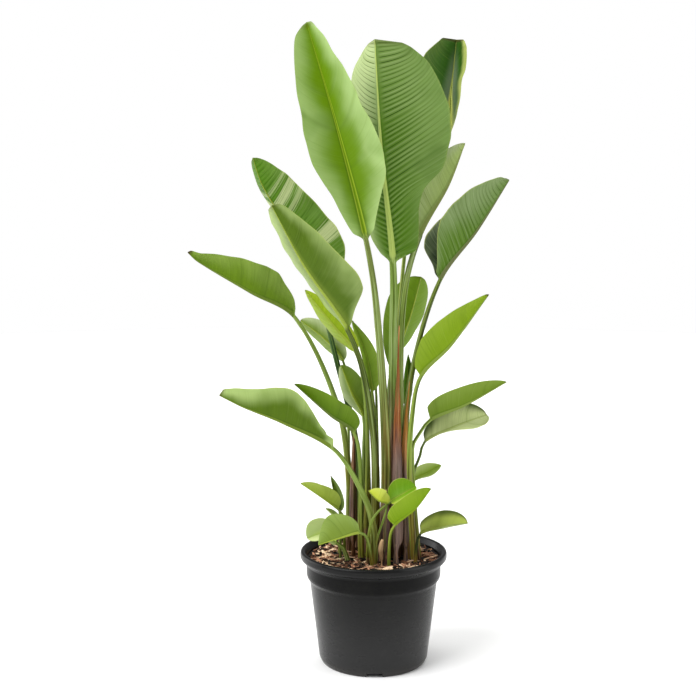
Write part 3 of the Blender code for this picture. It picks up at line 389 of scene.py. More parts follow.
LOOKS = {
    "leaf_tall_left": look(
        upper=(104, 142, 2), under=(104, 134, 30), pale=(174, 202, 128), bloom=(0.95, 0.7),
        rib=(160, 182, 50), foot=(126, 118, 52), neck=(122, 136, 70), skin_top=0.25, streak=0.2, rim=0.1),
    "leaf_tall_centre": look(
        under=(84, 126, 18), pale=(194, 212, 150), under_bloom=(1.0, 0.2), wax_from=(-0.3, -0.25),
        tip_wax=1.5, rib=(176, 196, 100), neck=(138, 166, 78), foot=(84, 82, 40), skin=(80, 54, 46),
        skin_top=0.6, pleat=0.00032, crease=1.0, rim=0.1),
    "leaf_back_top": look(
        upper=(50, 96, 12), pale=(204, 214, 124), bloom=(0.9, 0.1), rib=(216, 222, 124), rim=0.5, burn=0.7,
        wax_from=(0.62, 0.3), halo=(0.85, 17.0), lean=0.9, glow=(128, 146, 116), rib_foot=8.0,
        neck=(146, 170, 84)),
    "leaf_rolled_right": look(
        upper=(170, 192, 120), under=(196, 218, 132), pale=(216, 224, 190), under_bloom=0.7, streak=0.8,
        rib=(176, 190, 112), lean=1.9, neck=(160, 184, 96), foot=(130, 130, 56)),
    # leaf_upper_right's near-black upper colour is painted shade inside its fold
    "leaf_upper_right": look(
        upper=(14, 42, 2), under=(90, 126, 32), pale=(168, 184, 140), under_bloom=0.45, rib=(112, 120, 74),
        neck=(126, 146, 58), foot=(140, 112, 50), streak=0.8, pleat=0.0002, crease=0.5, burn=0.1, lean=1.0,
        tip_wax=0.9, rim=0.5),
    "leaf_middle_right": look(
        upper=(118, 152, 8), under=(128, 160, 12), pale=(168, 190, 84), burn=0.8, foot=(136, 116, 44),
        rib=(132, 154, 62)),
    "leaf_low_right": look(
        upper=(108, 136, 24), under=(106, 134, 28), pale=(160, 180, 96), rib=(124, 144, 62)),
    "leaf_curled_right": look(
        upper=(208, 220, 152), under=(44, 70, 24), pale=(58, 80, 26), streak=0.9, rim=0.6,
        neck=(120, 142, 70), bloom=(0.0, 0.95), wax_from=(0.3, 0.18)),
    "leaf_small_right": look(
        upper=(140, 170, 52), under=(96, 122, 34), pale=(180, 198, 116), bloom=(0.5, 1.0)),
    "leaf_front_bright": look(
        upper=(52, 96, 16), under=(126, 162, 6), pale=(168, 190, 70), neck=(140, 158, 60),
        foot=(132, 146, 56), rib=(128, 156, 20), rim=0.6),
    "leaf_front_cupped": look(
        upper=(104, 152, 16), under=(150, 170, 50), pale=(196, 212, 80), bloom=(1.0, 0.1), rim=0.9,
        wax_from=0.1, halo=(0.3, 5.0)),
    "leaf_front_yellow": look(upper=(196, 212, 30), under=(206, 218, 70), pale=(212, 220, 146), rim=0.6),
    "leaf_front_left": look(
        upper=(122, 148, 50), under=(126, 150, 52), pale=(160, 184, 100), under_bloom=0.6, burn=0.0),
    "leaf_round_left": look(
        upper=(108, 144, 48), pale=(212, 224, 156), bloom=(0.6, 1.0), wax_from=-0.5, streak=0.2,
        tip_wax=0.8, halo=(0.5, 8.0), rib=(190, 208, 112)),
    "leaf_small_left": look(upper=(160, 180, 56), under=(160, 182, 62), pale=(196, 210, 120)),
    "leaf_spear_left": look(upper=(108, 134, 40), under=(108, 134, 40), burn=0.9),
    "leaf_tiny_left": look(upper=(160, 182, 84), under=(160, 182, 84)),
    "leaf_lower_left": look(
        upper=(90, 124, 16), under=(84, 112, 14), pale=(172, 196, 118), under_bloom=0.95, wax_from=0.3,
        rib=(112, 132, 44), burn=0.6, tip_wax=0.8, base_pale=0.9, lean=0.4, rim=0.4, streak=0.2),
    "leaf_low_narrow_left": look(
        upper=(88, 124, 2), under=(90, 124, 4), pale=(150, 176, 70), rib=(104, 124, 52), tip_wax=-0.3,
        bloom=0.35),
    "leaf_mid_left": look(
        upper=(88, 116, 14), under=(98, 126, 10), pale=(172, 188, 132), under_bloom=(1.0, 0.15),
        wax_from=-0.2, halo=(0.3, 5.0), rim=0.4),
    "leaf_pointed_left": look(
        upper=(134, 166, 40), under=(148, 176, 12), pale=(206, 220, 88), rim=0.9, streak=0.9),
    "leaf_upper_left": look(
        upper=(110, 134, 60), under=(86, 114, 24), pale=(176, 198, 122), under_bloom=(1.0, 0.7),
        wax_from=(-0.6, 0.35), rib=(164, 184, 74), neck=(92, 108, 42), streak=0.25, rim=0.45,
        halo=(0.3, 5.0)),
    "leaf_striped_left": look(
        upper=(110, 134, 56), under=(84, 132, 14), pale=(150, 172, 100), neck=(58, 92, 40),
        foot=(84, 98, 34), streak=1.0, pleat=0.0002, crease=0.55, band=(204, 214, 160),
        bands=((0.26, 0.04, 0.9), (0.53, 0.018, 0.55), (0.62, 0.03, 0.8), (0.72, 0.01, 0.5)), lean=0.4,
        rim=0.4),
    "leaf_far_left": look(
        upper=(120, 148, 30), under=(100, 132, 12), pale=(150, 176, 84), under_bloom=0.6, wax_from=0.2,
        rib=(110, 132, 44), burn=1.0, lean=0.5),
    "leaf_pale_left": look(
        upper=(134, 158, 66), under=(128, 154, 58), pale=(200, 214, 164), under_bloom=(0.1, 0.9)),
    "leaf_back_centre": look(under=(112, 146, 28), pale=(160, 184, 96)),
    "leaf_slim_left": look(upper=(112, 150, 18), under=(116, 152, 22), pale=(178, 202, 96), rim=0.5),
    "leaf_slim_centre": look(upper=(136, 172, 44), under=(136, 172, 44), pale=(176, 200, 96), rim=0.4),
    "leaf_curled_centre": look(upper=(104, 142, 20), under=(118, 154, 24), pale=(176, 200, 96), rim=0.5),
    "leaf_spear_centre": look(upper=(60, 104, 14), under=(64, 108, 16), pale=(120, 150, 60), rim=0.2),
    "leaf_rim_right": look(
        upper=(176, 192, 84), under=(146, 164, 66), pale=(46, 68, 18), neck=(54, 66, 30), bloom=(0.0, 0.85),
        wax_from=0.45, rib=(150, 160, 70), halo=(0.4, 7.0)),
}


# The colours of each dried sheath, in display colours: its foot, its middle and its torn end
SHEATH_LOOKS = {
    "sheath_centre": ((122, 98, 88), (150, 80, 8), (222, 156, 88)),
    "sheath_front": ((70, 44, 38), (84, 54, 40), (150, 110, 80)),
    "sheath_right": ((132, 106, 94), (184, 120, 24), (204, 146, 62)),
    "sheath_torn": ((150, 120, 84), (180, 150, 110), (206, 176, 130)),
    "sheath_left": ((84, 48, 12), (108, 58, 8), (146, 88, 18)),
}


def unit(vector):
    vector = np.asarray(vector, float)
    return vector / np.linalg.norm(vector, axis=-1, keepdims=True)


def smooth(value, low, high):
    """0 below low, 1 above high, and a smooth step between."""
    share = np.clip((value - low) / (high - low), 0.0, 1.0)
    return share * share * (3 - 2 * share)


def path(points):
    """A smooth path through points, as dense samples with their distance along it."""
    points = np.asarray(points, float)
    steps = np.diff(points, axis=0)
    chords = np.linalg.norm(steps, axis=1)[:, None]
    slopes = steps / chords
    inner = (steps[:-1] + steps[1:]) / (chords[:-1] + chords[1:])
    tangents = np.vstack([slopes[:1], inner, slopes[-1:]])
    at = np.linspace(0, 1, PATH_SAMPLES // len(steps))[:, None]
    spans = [
        (2 * at**3 - 3 * at**2 + 1) * points[i]
        + (at**3 - 2 * at**2 + at) * chords[i] * tangents[i]
        + (3 * at**2 - 2 * at**3) * points[i + 1]
        + (at**3 - at**2) * chords[i] * tangents[i + 1]
        for i in range(len(steps))
    ]
    samples = np.vstack([spans[0]] + [span[1:] for span in spans[1:]])
    distance = np.concatenate([[0.0], np.cumsum(np.linalg.norm(np.diff(samples, axis=0), axis=1))])
    return samples, distance


def turned(vector, axes, degrees):
    """vector turned about each of some unit axes."""
    angle = np.radians(degrees)[..., None]
    along = axes * np.sum(axes * vector, axis=-1, keepdims=True)
    return vector * np.cos(angle) + np.cross(axes, vector) * np.sin(angle) + along * (1 - np.cos(angle))


def drawn_width(widths, t):
    """The width at t of a smooth margin through widths in millimetres, which overshoots none of them."""
    at = np.array(EDGE_AT)
    width = np.concatenate([[0.0], widths, [0.0]]) / 1000
    slope = np.diff(width) / np.diff(at)
    product = slope[:-1] * slope[1:]
    total = slope[:-1] + slope[1:]
    inner = np.divide(2 * product, total, out=np.zeros_like(total), where=product > 0)
    slope = np.concatenate([slope[:1], inner, slope[-1:]])
    i = np.clip(np.searchsorted(at, t) - 1, 0, len(at) - 2)
    span = at[i + 1] - at[i]
    u = (t - at[i]) / span
    return (
        (2 * u**3 - 3 * u**2 + 1) * width[i] + (u**3 - 2 * u**2 + u) * span * slope[i]
        + (3 * u**2 - 2 * u**3) * width[i + 1] + (u**3 - u**2) * span * slope[i + 1])


class Leaf:
    """The form of one leaf, as points on rows that follow its veins. Each part of a section is given as
    its points (across, up) and, for each point, its place t along the blade, its reach from the midrib's
    middle, that reach in midrib widths, its share of the way to the margin, and where its vein leaves the
    midrib."""

    def __init__(self, spec, pleat, lean):
        self.spec = spec
        self.pleat = pleat
        self.lean = lean
        self.samples, self.distance = path(spec["stalk"] + spec["rib"])
        spans = len(spec["stalk"]) + len(spec["rib"]) - 1
        self.neck = self.distance[(len(spec["stalk"]) - 1) * (PATH_SAMPLES // spans - 1)]
        self.length = self.distance[-1] - self.neck
        count = int(np.clip(max(spec["half"]) / COLUMN_STEP, *COLUMN_RANGE))
        self.shares = np.concatenate([[1.0], np.linspace(1 - MARGIN_STRIP, 0.0, count)])
        self.side = len(self.shares)
        self.upper = 2 * self.side + 1
        self.columns = 4 * self.side + 1 + KEEL_POINTS

    def at(self, stops):
        """The places at distances along the leaf's middle line."""
        return np.stack([np.interp(stops, self.distance, self.samples[:, k]) for k in range(3)], axis=-1)

    def spine(self, stops, t):
        """Place, side and up of the leaf's middle line at distances along it."""
        ahead = np.minimum(stops + PATH_REACH, self.distance[-1])
        behind = np.maximum(stops - PATH_REACH, 0)
        along = unit(self.at(ahead) - self.at(behind))
        face = turned(unit(self.spec["face"]), along, self.spec["turn"] * t)
        side = unit(np.cross(along, face))
        return self.at(stops), side, np.cross(side, along)

    def half_width(self, hand, t):
        if self.spec["edge"]:
            return np.maximum(BLADE_LEAST_HALF, drawn_width(self.spec["edge"][hand], t))
        widest = self.spec["widest"][hand]
        base = (1 - (np.clip(widest - t, 0, None) / widest) ** 2) ** self.spec["base"][hand]
        tip = (1 - (np.clip(t - widest, 0, 1 - widest) / (1 - widest)) ** 2) ** self.spec["tip"][hand]
        return np.maximum(BLADE_LEAST_HALF, self.spec["half"][hand] * np.where(t < widest, base, tip))

    def rib_radius(self, t):
        neck_radius = self.spec["radius"][1]
        return MIDRIB_TIP_RADIUS + (neck_radius - MIDRIB_TIP_RADIUS) * (1 - t) ** MIDRIB_TAPER

    def rib_reach(self, hand, t):
        return np.minimum(self.rib_radius(t), MIDRIB_SHARE * self.half_width(hand, t))

    def vein_run(self, hand, rows, shares):
        """How far along the blade each vein is at its shares of the way out: it leans towards the tip."""
        lean = min(VEIN_LEAN_MOST, self.lean * self.spec["half"][hand] / self.length)
        power = min(VEIN_LEAN_POWER, VEIN_ORDER / max(lean, MERGE))
        opening = 0.3 * smooth(rows, 0.0, 0.08) + 0.7 * smooth(rows, 0.08, 0.6)
        reach = opening * (1 - (rows / BLADE_END) ** power)
        return rows + lean * reach * (0.7 * shares + 0.3 * shares**2)

    def folds(self, rows):
        """The height, from -1 to 1, of the pleats between the veins."""
        run = math.tau * rows * self.length
        height = np.sin(run / PLEAT_SPACING + PLEAT_UNEVENNESS * np.sin(run / PLEAT_DRIFT))
        return height * smooth(rows, 0.0, 0.06) * (1 - smooth(rows, 0.88, 0.99))

    def half_points(self, hand, rows, shares, face):
        """One face of one half. face is 1 above and -1 below."""
        t = self.vein_run(hand, rows, shares)
        width = self.half_width(hand, t)
        near = self.rib_reach(hand, t)
        reach = near + (width - near) * shares
        share = reach / width
        fold = math.radians(self.spec["fold"][hand])
        curl = math.radians(self.spec["curl"][hand])
        raised = fold + curl * share
        across = width * (np.sin(raised) - math.sin(fold)) / curl
        up = width * (math.cos(fold) - np.cos(raised)) / curl
        phase = math.tau * RIPPLES * t + RIPPLE_SHIFT * hand
        rise = self.spec["wave"] * self.spec["half"][hand] * share**2 * np.sin(phase) * (1 - t)
        flutter = FLUTTER * min(1.0, self.spec["half"][hand] / FLUTTER_HALF)
        phase = math.tau * t * self.length / FLUTTER_SPACING + FLUTTER_SHIFT * hand
        rise = rise + flutter * share**2 * np.sin(phase) * t * (1 - t) * 4
        folds = self.folds(rows) * smooth(shares, 0.0, 0.08) * (1 - 0.7 * smooth(shares, 0.35, 1.0))
        rise = rise + folds * self.pleat * np.minimum(1.0, width / PLEAT_HALF)
        rise = rise + face * (BLADE_LIFT + (MARGIN_LIFT - BLADE_LIFT) * share)
        side = 1 - 2 * hand
        points = np.stack([side * (across - np.sin(raised) * rise), up + np.cos(raised) * rise], axis=-1)
        return points, (t, side * reach, reach / near, share, rows + 0 * t)

    def middle_points(self, rows):
        """The groove over the midrib."""
        near = np.minimum(self.rib_reach(0, rows), self.rib_reach(1, rows))
        nothing = np.zeros_like(rows)
        points = np.stack([nothing, BLADE_LIFT - MIDRIB_GROOVE * near], axis=-1)
        return points, (rows, nothing, nothing, nothing, rows)

    def keel_points(self, rows):
        """The round of the midrib under the blade, from its left shoulder to its right."""
        angles = math.pi * (np.arange(KEEL_POINTS) + 0.5) / KEEL_POINTS
        t = np.broadcast_to(rows, (len(rows), KEEL_POINTS))
        right = angles > math.pi / 2
        near = np.where(right, self.rib_reach(0, t), self.rib_reach(1, t))
        fold = np.radians(np.where(right, *self.spec["fold"]))
        across = -np.cos(angles) * near * np.cos(fold)
        up = np.abs(np.cos(angles)) * near * np.sin(fold) - BLADE_LIFT - self.rib_radius(t) * np.sin(angles)
        nothing = np.zeros_like(t)
        return np.stack([across, up], axis=-1), (t, across, np.abs(np.cos(angles)) + nothing, nothing, t)

    def stalk_ring(self, radius):
        """Across and up of the points round a stalk, grooved on its upper side."""
        over = np.linspace(STALK_SEAM, 180 - STALK_SEAM, self.upper)
        under = np.linspace(180 + STALK_SEAM, 360 - STALK_SEAM, self.columns - self.upper)
        degrees = np.concatenate([over, under])
        reach = radius * (1 - GROOVE_DEPTH * np.exp(-((degrees - 90) / GROOVE_SPREAD) ** 2))
        angles = np.radians(degrees)
        return np.stack([reach * np.cos(angles), reach * np.sin(angles)], axis=-1)

    def rings(self):
        """Every ring from the foot to the tip: its points, and the place, marks, zone and root of each."""
        stalk = np.arange(0.0, self.neck - STALK_STEP / 2, STALK_STEP)
        even = np.linspace(0, 1, int(np.clip(self.length / BLADE_STEP, *BLADE_ROWS)))
        closer = (1 - np.cos(math.pi * even)) / 2
        blade = BLADE_END * (BLADE_EVENNESS * even + (1 - BLADE_EVENNESS) * closer)
        # The stalk's rings stand at row 0 of the blade, where its section is still the stalk's
        start = np.concatenate([stalk, self.neck + 0 * blade])[:, None]
        rows = np.concatenate([0 * stalk, blade])[:, None]
        parts = [
            self.half_points(0, rows, self.shares, 1),
            self.middle_points(rows),
            self.half_points(1, rows, self.shares[::-1], 1),
            self.half_points(1, rows, self.shares, -1),
            self.keel_points(rows),
            self.half_points(0, rows, self.shares[::-1], -1),
        ]
        flat = np.concatenate([points for points, _ in parts], axis=1)
        t, reach, near, share, root = (
            np.concatenate(values, axis=1) for values in zip(*(facts for _, facts in parts)))
        grown = smooth(t, 0.0, NECK_SHARE)
        height = start / self.neck
        foot_radius, neck_radius = self.spec["radius"]
        ring = self.stalk_ring(foot_radius + (neck_radius - foot_radius) * height)
        flat = ring * (1 - grown)[..., None] + flat * grown[..., None]
        place, side, up = self.spine(start + self.length * t, t)
        under = np.arange(self.columns) >= self.upper
        run = start - self.neck + self.length * rows
        spots = [reach * grown + ring[..., 0] * (1 - grown), run + 0 * t, ring[..., 1] * (1 - grown)]
        return {
            "points": closed(
                place + flat[..., :1] * side + flat[..., 1:] * up, self.samples[0], self.samples[-1]),
            "place": closed(np.stack(spots, axis=-1), (0, -self.neck, 0), (0, self.length, 0)),
            "marks": closed(np.stack([near, share * grown, under + 0 * t], axis=-1), (0, 0, 0), (1, 1, 0)),
            "zones": closed(np.stack([grown, height + 0 * t, t], axis=-1), (0, 0, 0), (1, 1, 1)),
            "root": closed(root, 0, 1),
        }


def closed(rings, first, last):
    """The rings with a point at each end, and with their first column repeated as a seam."""
    ends = [np.broadcast_to(end, (1,) + rings.shape[1:]) for end in (first, last)]
    whole = np.concatenate([ends[0], rings, ends[1]])
    return np.concatenate([whole, whole[:, :1]], axis=1)


def set_mark(mesh, name, values):
    """Stores a value or a vector for each of a mesh's points."""
    kind, key = ("FLOAT", "value") if values.ndim == 1 else ("FLOAT_VECTOR", "vector")
    mesh.attributes.new(name, kind, "POINT").data.foreach_set(key, values.ravel())


def finish_piece(piece, made, slot, *nodes):
    """Gives a piece its material and its place in the frame."""
    piece.data.materials.clear()
    piece.data.materials.append(made)
    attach(piece, "root")
    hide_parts(*nodes)


def weld(reach):
    """Merges the active piece's points within reach of each other, and turns its faces outwards."""
    bpy.ops.object.mode_set(mode="EDIT")
    bpy.ops.mesh.select_all(action="SELECT")
    bpy.ops.mesh.remove_doubles(threshold=reach)
    bpy.ops.mesh.normals_make_consistent(inside=False)
    bpy.ops.object.mode_set(mode="OBJECT")


def make_leaf(name, spec, pleat, lean, seed):
    """A leaf from a grid that is rolled up round its section and drawn to a point at both ends."""
    rings = Leaf(spec, pleat, lean).rings()
    rows, columns = rings["points"].shape[:2]
    bpy.ops.object.select_all(action="DESELECT")
    bpy.ops.mesh.primitive_grid_add(x_subdivisions=columns - 1, y_subdivisions=rows - 1, size=2)
    piece = bpy.context.object
    piece.name = name + "_leaf" if name.startswith("sheath") else name.replace("leaf_", "blade_")
    mesh = piece.data
    mesh.name = piece.name
    flat = np.empty(3 * len(mesh.vertices))
    mesh.vertices.foreach_get("co", flat)
    flat = flat.reshape(-1, 3)
    across = np.rint((flat[:, 0] + 1) / 2 * (columns - 1)).astype(int)
    along = np.rint((flat[:, 1] + 1) / 2 * (rows - 1)).astype(int)
    mesh.vertices.foreach_set("co", rings["points"][along, across].ravel())
    rings["place"][:, :, 1] += SEED_STEP * seed
    for key in ("place", "marks", "zones", "root"):
        set_mark(mesh, "leaf_" + key, rings[key][along, across])
    weld(MERGE)
    bpy.ops.object.shade_smooth_by_angle(angle=SHARP_ANGLE)
    return piece


class Surface:
    """A material, and the nodes that it is made of."""

    def __init__(self, name):
        self.material = bpy.data.materials.new(name)
        self.material.use_nodes = True
        self.tree = self.material.node_tree
        self.shader = self.tree.nodes["Principled BSDF"]

    def put(self, value, socket):
        """Links a socket to an input, or sets the input to a value that is the same all over."""
        if isinstance(value, bpy.types.NodeSocket):
            self.tree.links.new(value, socket)
        elif isinstance(value, tuple) and socket.type == "RGBA":
            socket.default_value = (*value, 1.0)
        else:
            socket.default_value = value

    def node(self, kind, inputs, output=0, **settings):
        made = self.tree.nodes.new("ShaderNode" + kind)
        for key, value in settings.items():
            setattr(made, key, value)
        for key, value in inputs.items():
            self.put(value, made.inputs[key])
        return made.outputs[output]

    def mark(self, name, output="Vector"):
        return self.node("Attribute", {}, output, attribute_name=name)

    def here(self):
        return self.node("TexCoord", {}, "Object")

    def split(self, vector):
        return self.node("SeparateXYZ", {0: vector}).node.outputs[:]

    def noise(self, vector, scale=1.0, detail=2.0, roughness=0.5):
        return self.node(
            "TexNoise", {"Vector": vector, "Scale": scale, "Detail": detail, "Roughness": roughness})

    def streaks(self, vector, scale, detail=2.0, roughness=0.5):
        """Noise with a scale of its own along each axis."""
        return self.noise(self.node("Mapping", {"Vector": vector, "Scale": scale}), 1.0, detail, roughness)

    def step(self, value, low, high, least=0.0, most=1.0):
        """A smooth step from least, where value is low, to most, where it is high."""
        return self.node(
            "MapRange", {0: value, 1: low, 2: high, 3: least, 4: most}, interpolation_type="SMOOTHSTEP")

    def maths(self, operation, *values):
        return self.node("Math", dict(enumerate(values)), operation=operation)

    def times(self, first, second):
        return self.maths("MULTIPLY", first, second)

    def mix(self, share, first, second, blend="MIX"):
        return self.node("Mix", {0: share, 6: first, 7: second}, 2, data_type="RGBA", blend_type=blend)

    def tint(self, colour, other, value, low, high, most=1.0):
        """A colour that turns into another by up to a share of most, as a value goes from low to high."""
        return self.mix(self.step(value, low, high, 0.0, most), colour, other)

    def darken(self, colour, other, value, low, high, most=1.0):
        """A colour multiplied by another by up to a share of most, as a value goes from low to high."""
        return self.mix(self.step(value, low, high, 0.0, most), colour, other, "MULTIPLY")

    def bump(self, height, distance, strength):
        return self.node("Bump", {"Height": height, "Distance": distance, "Strength": strength})

    def finish(self, colour, roughness, normal=None, specular=None):
        """Sets the shader's inputs, and gives back the material."""
        inputs = {"Base Color": colour, "Roughness": roughness, "Normal": normal,
                  "Specular IOR Level": specular}
        for key, value in inputs.items():
            if value is not None:
                self.put(value, self.shader.inputs[key])
        return self.material

    def let_light_through(self, colour, share):
        """Lets a share of the light through, as a thin leaf does."""
        through = self.node("BsdfTranslucent", {"Color": colour})
        both = self.node("MixShader", {0: share, 1: self.shader.outputs[0], 2: through})
        self.tree.links.new(both, self.tree.nodes["Material Output"].inputs["Surface"])


def stalk_colour(surface, tones, height, place):
    """The stalk's colour up its height, with fine streaks along it and dry skin near its foot."""
    grain = surface.streaks(place, (620, 7, 620), 3.0, 0.6)
    patch = surface.streaks(place, (90, 11, 90))
    stripe = surface.streaks(place, (260, 5, 260))
    colour = surface.tint(tones["foot"], tones["neck"], height, 0.10, 0.75)
    colour = surface.darken(colour, shade(148, 156, 78), stripe, 0.50, 0.66, 0.9)
    colour = surface.tint(colour, tones["pale"], stripe, 0.48, 0.34, 0.55)
    colour = surface.darken(colour, shade(150, 154, 76), grain, 0.45, 0.72, 0.7)
    colour = surface.tint(colour, tones["pale"], grain, 0.46, 0.30, 0.4)
    stain = surface.times(surface.step(patch, 0.52, 0.70, 0.0, 0.8), surface.step(height, 0.60, 0.15))
    colour = surface.mix(stain, colour, shade(146, 104, 44))
    rim = surface.maths("ADD", height, surface.step(patch, 0.3, 0.7, -0.12, 0.12))
    worn = surface.step(rim, tones["skin_top"], tones["skin_top"] * 0.6)
    worn = surface.times(worn, surface.step(patch, 0.25, 0.5, 0.75, 1.0))
    dry = surface.tint(shade(150, 116, 92), tones["skin"], grain, 0.42, 0.60)
    return surface.mix(worn, colour, dry), grain


def leaf_material(name, tones):
    """A satin leaf: its two sides, their waxy coat and painted sheen, veins, pleats with painted shade in
    their valleys and painted highlights on their ridges, the midrib with painted shade beside it, a pale
    margin partly painted as a glow of light through it, and a browned tip.
    """
    surface = Surface(name)
    place = surface.mark("leaf_place")
    across, along, _ = surface.split(place)
    near, share, under = surface.split(surface.mark("leaf_marks"))
    grown, height, t = surface.split(surface.mark("leaf_zones"))
    root = surface.mark("leaf_root", "Fac")
    on_vein = surface.node("CombineXYZ", {0: along, 1: surface.maths("ABSOLUTE", across)})
    veins = surface.streaks(on_vein, (430, 6, 1), 3.0, 0.65)
    wide = surface.streaks(on_vein, (48, 4, 1))
    cloud = surface.noise(surface.here(), 15.0)

    def by_hand(key):
        """A value of the look, which may differ between the right half and the left."""
        right, left = tones[key]
        return right if right == left else surface.step(across, -0.0005, 0.0005, left, right)

    # The two sides, with their waxy coat and the painted sheen of reflected light, both thickening towards
    # the margin
    wax = surface.maths("ADD", share, surface.step(cloud, 0.25, 0.75, -0.18, 0.18))
    wax = surface.maths("ADD", wax, surface.step(wide, 0.3, 0.7, -0.04, 0.04))
    if tones["tip_wax"]:
        wax = surface.maths("MULTIPLY_ADD", surface.maths("SUBTRACT", t, 0.5), tones["tip_wax"], wax)
    wax = surface.step(wax, by_hand("wax_from"), 1.02)
    upper = surface.mix(surface.times(wax, by_hand("bloom")), tones["upper"], tones["pale"])
    lower = surface.mix(surface.times(wax, by_hand("under_bloom")), tones["under"], tones["pale"])
    blade = surface.mix(under, upper, lower)
    blade = surface.darken(blade, shade(190, 205, 160), cloud, 0.55, 0.80, 0.5)
    blade = surface.darken(blade, shade(196, 206, 160), wide, 0.50, 0.80, 0.5)

    # Light bands, fine veins, and pleats with painted shade in their valleys and painted highlights on
    # their ridges
    for root_at, reach, strength in tones["bands"]:
        off = surface.maths("ABSOLUTE", surface.maths("SUBTRACT", root, root_at))
        off = surface.maths("ADD", off, surface.step(veins, 0.3, 0.7, -0.022, 0.022))
        blade = surface.tint(blade, tones["band"], off, reach + 0.014, reach - 0.010, strength)
    blade = surface.darken(blade, shade(178, 196, 140), veins, 0.52, 0.72, tones["streak"])
    blade = surface.tint(blade, tones["pale"], veins, 0.46, 0.28, 0.5 * tones["streak"])
    if tones["crease"]:
        run = surface.times(along, math.tau / PLEAT_SPACING)
        drift = surface.maths("SINE", surface.times(along, math.tau / PLEAT_DRIFT))
        fold = surface.maths("SINE", surface.maths("MULTIPLY_ADD", drift, PLEAT_UNEVENNESS, run))
        fold = surface.times(fold, surface.step(under, 0.4, 0.6, -1.0, 1.0))
        fade = surface.times(surface.step(share, 0.02, 0.12), surface.step(share, 0.95, 0.30, 0.20, 1.0))
        fade = surface.times(fade, surface.step(wide, 0.3, 0.6, 0.5, 1.0))
        inward = surface.maths("SUBTRACT", t, share)
        fade = surface.times(fade, surface.step(inward, -0.55, 0.15, 0.25, 1.0))
        # Painted shade in the valleys of the pleats
        valley = surface.times(surface.step(fold, 0.78, 0.98, 0.0, tones["crease"]), fade)
        blade = surface.mix(valley, blade, shade(110, 135, 60), "MULTIPLY")
        # Painted highlight on the ridges of the pleats
        ridge = surface.times(surface.step(fold, 0.0, -0.9, 0.0, 0.22 * tones["crease"]), fade)
        blade = surface.mix(ridge, blade, tones["pale"])

    # The shade beside the midrib, the glow round it, the pale base, and the midrib with its groove
    beside = surface.times(surface.step(near, 1.05, 1.35), surface.step(near, 2.6, 1.5, 0.0, 0.35))
    blade = surface.mix(beside, blade, shade(150, 170, 100), "MULTIPLY")
    strength, reach = tones["halo"]
    if strength:
        spread = surface.times(surface.step(near, reach, 1.0, 0.0, strength), surface.step(t, 1.0, 0.6))
        blade = surface.mix(spread, blade, tones["glow"])
    if tones["base_pale"]:
        blade = surface.tint(blade, tones["pale"], t, 0.13, 0.05, tones["base_pale"])
    rib_edge = RIB_EDGE
    if tones["rib_foot"] != RIB_EDGE:
        rib_edge = surface.step(t, 0.1, 0.7, tones["rib_foot"], RIB_EDGE)
    blade = surface.tint(blade, tones["rib"], near, rib_edge, 0.95)
    groove = surface.times(surface.step(near, 0.75, 0.35, 0.0, 0.85), surface.step(under, 0.6, 0.4))
    blade = surface.mix(groove, blade, tones["upper"])

    # The pale margin, partly the leaf's own pale edge and partly a painted glow of light through it, and
    # the browned tip
    blade = surface.tint(blade, shade(196, 206, 110), share, 0.965, 0.99, tones["rim"])
    end = surface.maths("ADD", t, surface.step(veins, 0.3, 0.7, -0.008, 0.008))
    blade = surface.tint(blade, shade(74, 64, 30), end, 0.962, 0.988, tones["burn"])

    stalk, grain = stalk_colour(surface, tones, height, place)
    colour = surface.mix(grown, stalk, blade)
    relief = surface.node("Mix", {0: grown, 2: grain, 3: veins})
    surface.let_light_through(surface.mix(1.0, colour, shade(255, 250, 170), "MULTIPLY"), LEAF_THINNESS)
    return surface.finish(
        colour, surface.step(cloud, 0.3, 0.7, 0.38, 0.52), surface.bump(relief, 0.0005, 0.3), LEAF_GLOSS)


def sheath_material(name, tones):
    """Dry papery skin: brown, with long pale and dark fibres."""
    surface = Surface(name)
    place = surface.mark("leaf_place")
    _, _, t = surface.split(surface.mark("leaf_zones"))
    fibre = surface.streaks(place, (460, 8, 460), 4.0, 0.7)
    patch = surface.streaks(place, (130, 9, 130))
    foot, middle, tip = (shade(*tone) for tone in tones)
    colour = surface.tint(foot, middle, t, 0.38, 0.60)
    colour = surface.tint(colour, tip, t, 0.88, 0.98)
    colour = surface.darken(colour, shade(128, 96, 84), fibre, 0.48, 0.66)
    colour = surface.tint(colour, shade(210, 160, 112), fibre, 0.46, 0.32, 0.55)
    colour = surface.tint(colour, shade(110, 110, 56), patch, 0.50, 0.70, 0.55)
    surface.let_light_through(colour, SHEATH_THINNESS)
    return surface.finish(
        colour, surface.step(patch, 0.3, 0.7, 0.45, 0.75), surface.bump(fibre, 0.0008, 0.6))


def make_leaves():
    slots = {entry["node"]: entry["material_slot"] for entry in frame["record"]["subparts"]}
    for seed, (name, spec) in enumerate(LEAVES.items()):
        if name in SHEATH_LOOKS:
            made = sheath_material(name + "_finish", SHEATH_LOOKS[name])
            piece = make_leaf(name, spec, SHEATH_PLEAT, 0.0, seed)
        else:
            tones = LOOKS[name]
            made = leaf_material(name + "_finish", tones)
            piece = make_leaf(name, spec, tones["pleat"], tones["lean"], seed)
        finish_piece(piece, made, slots[name], name)


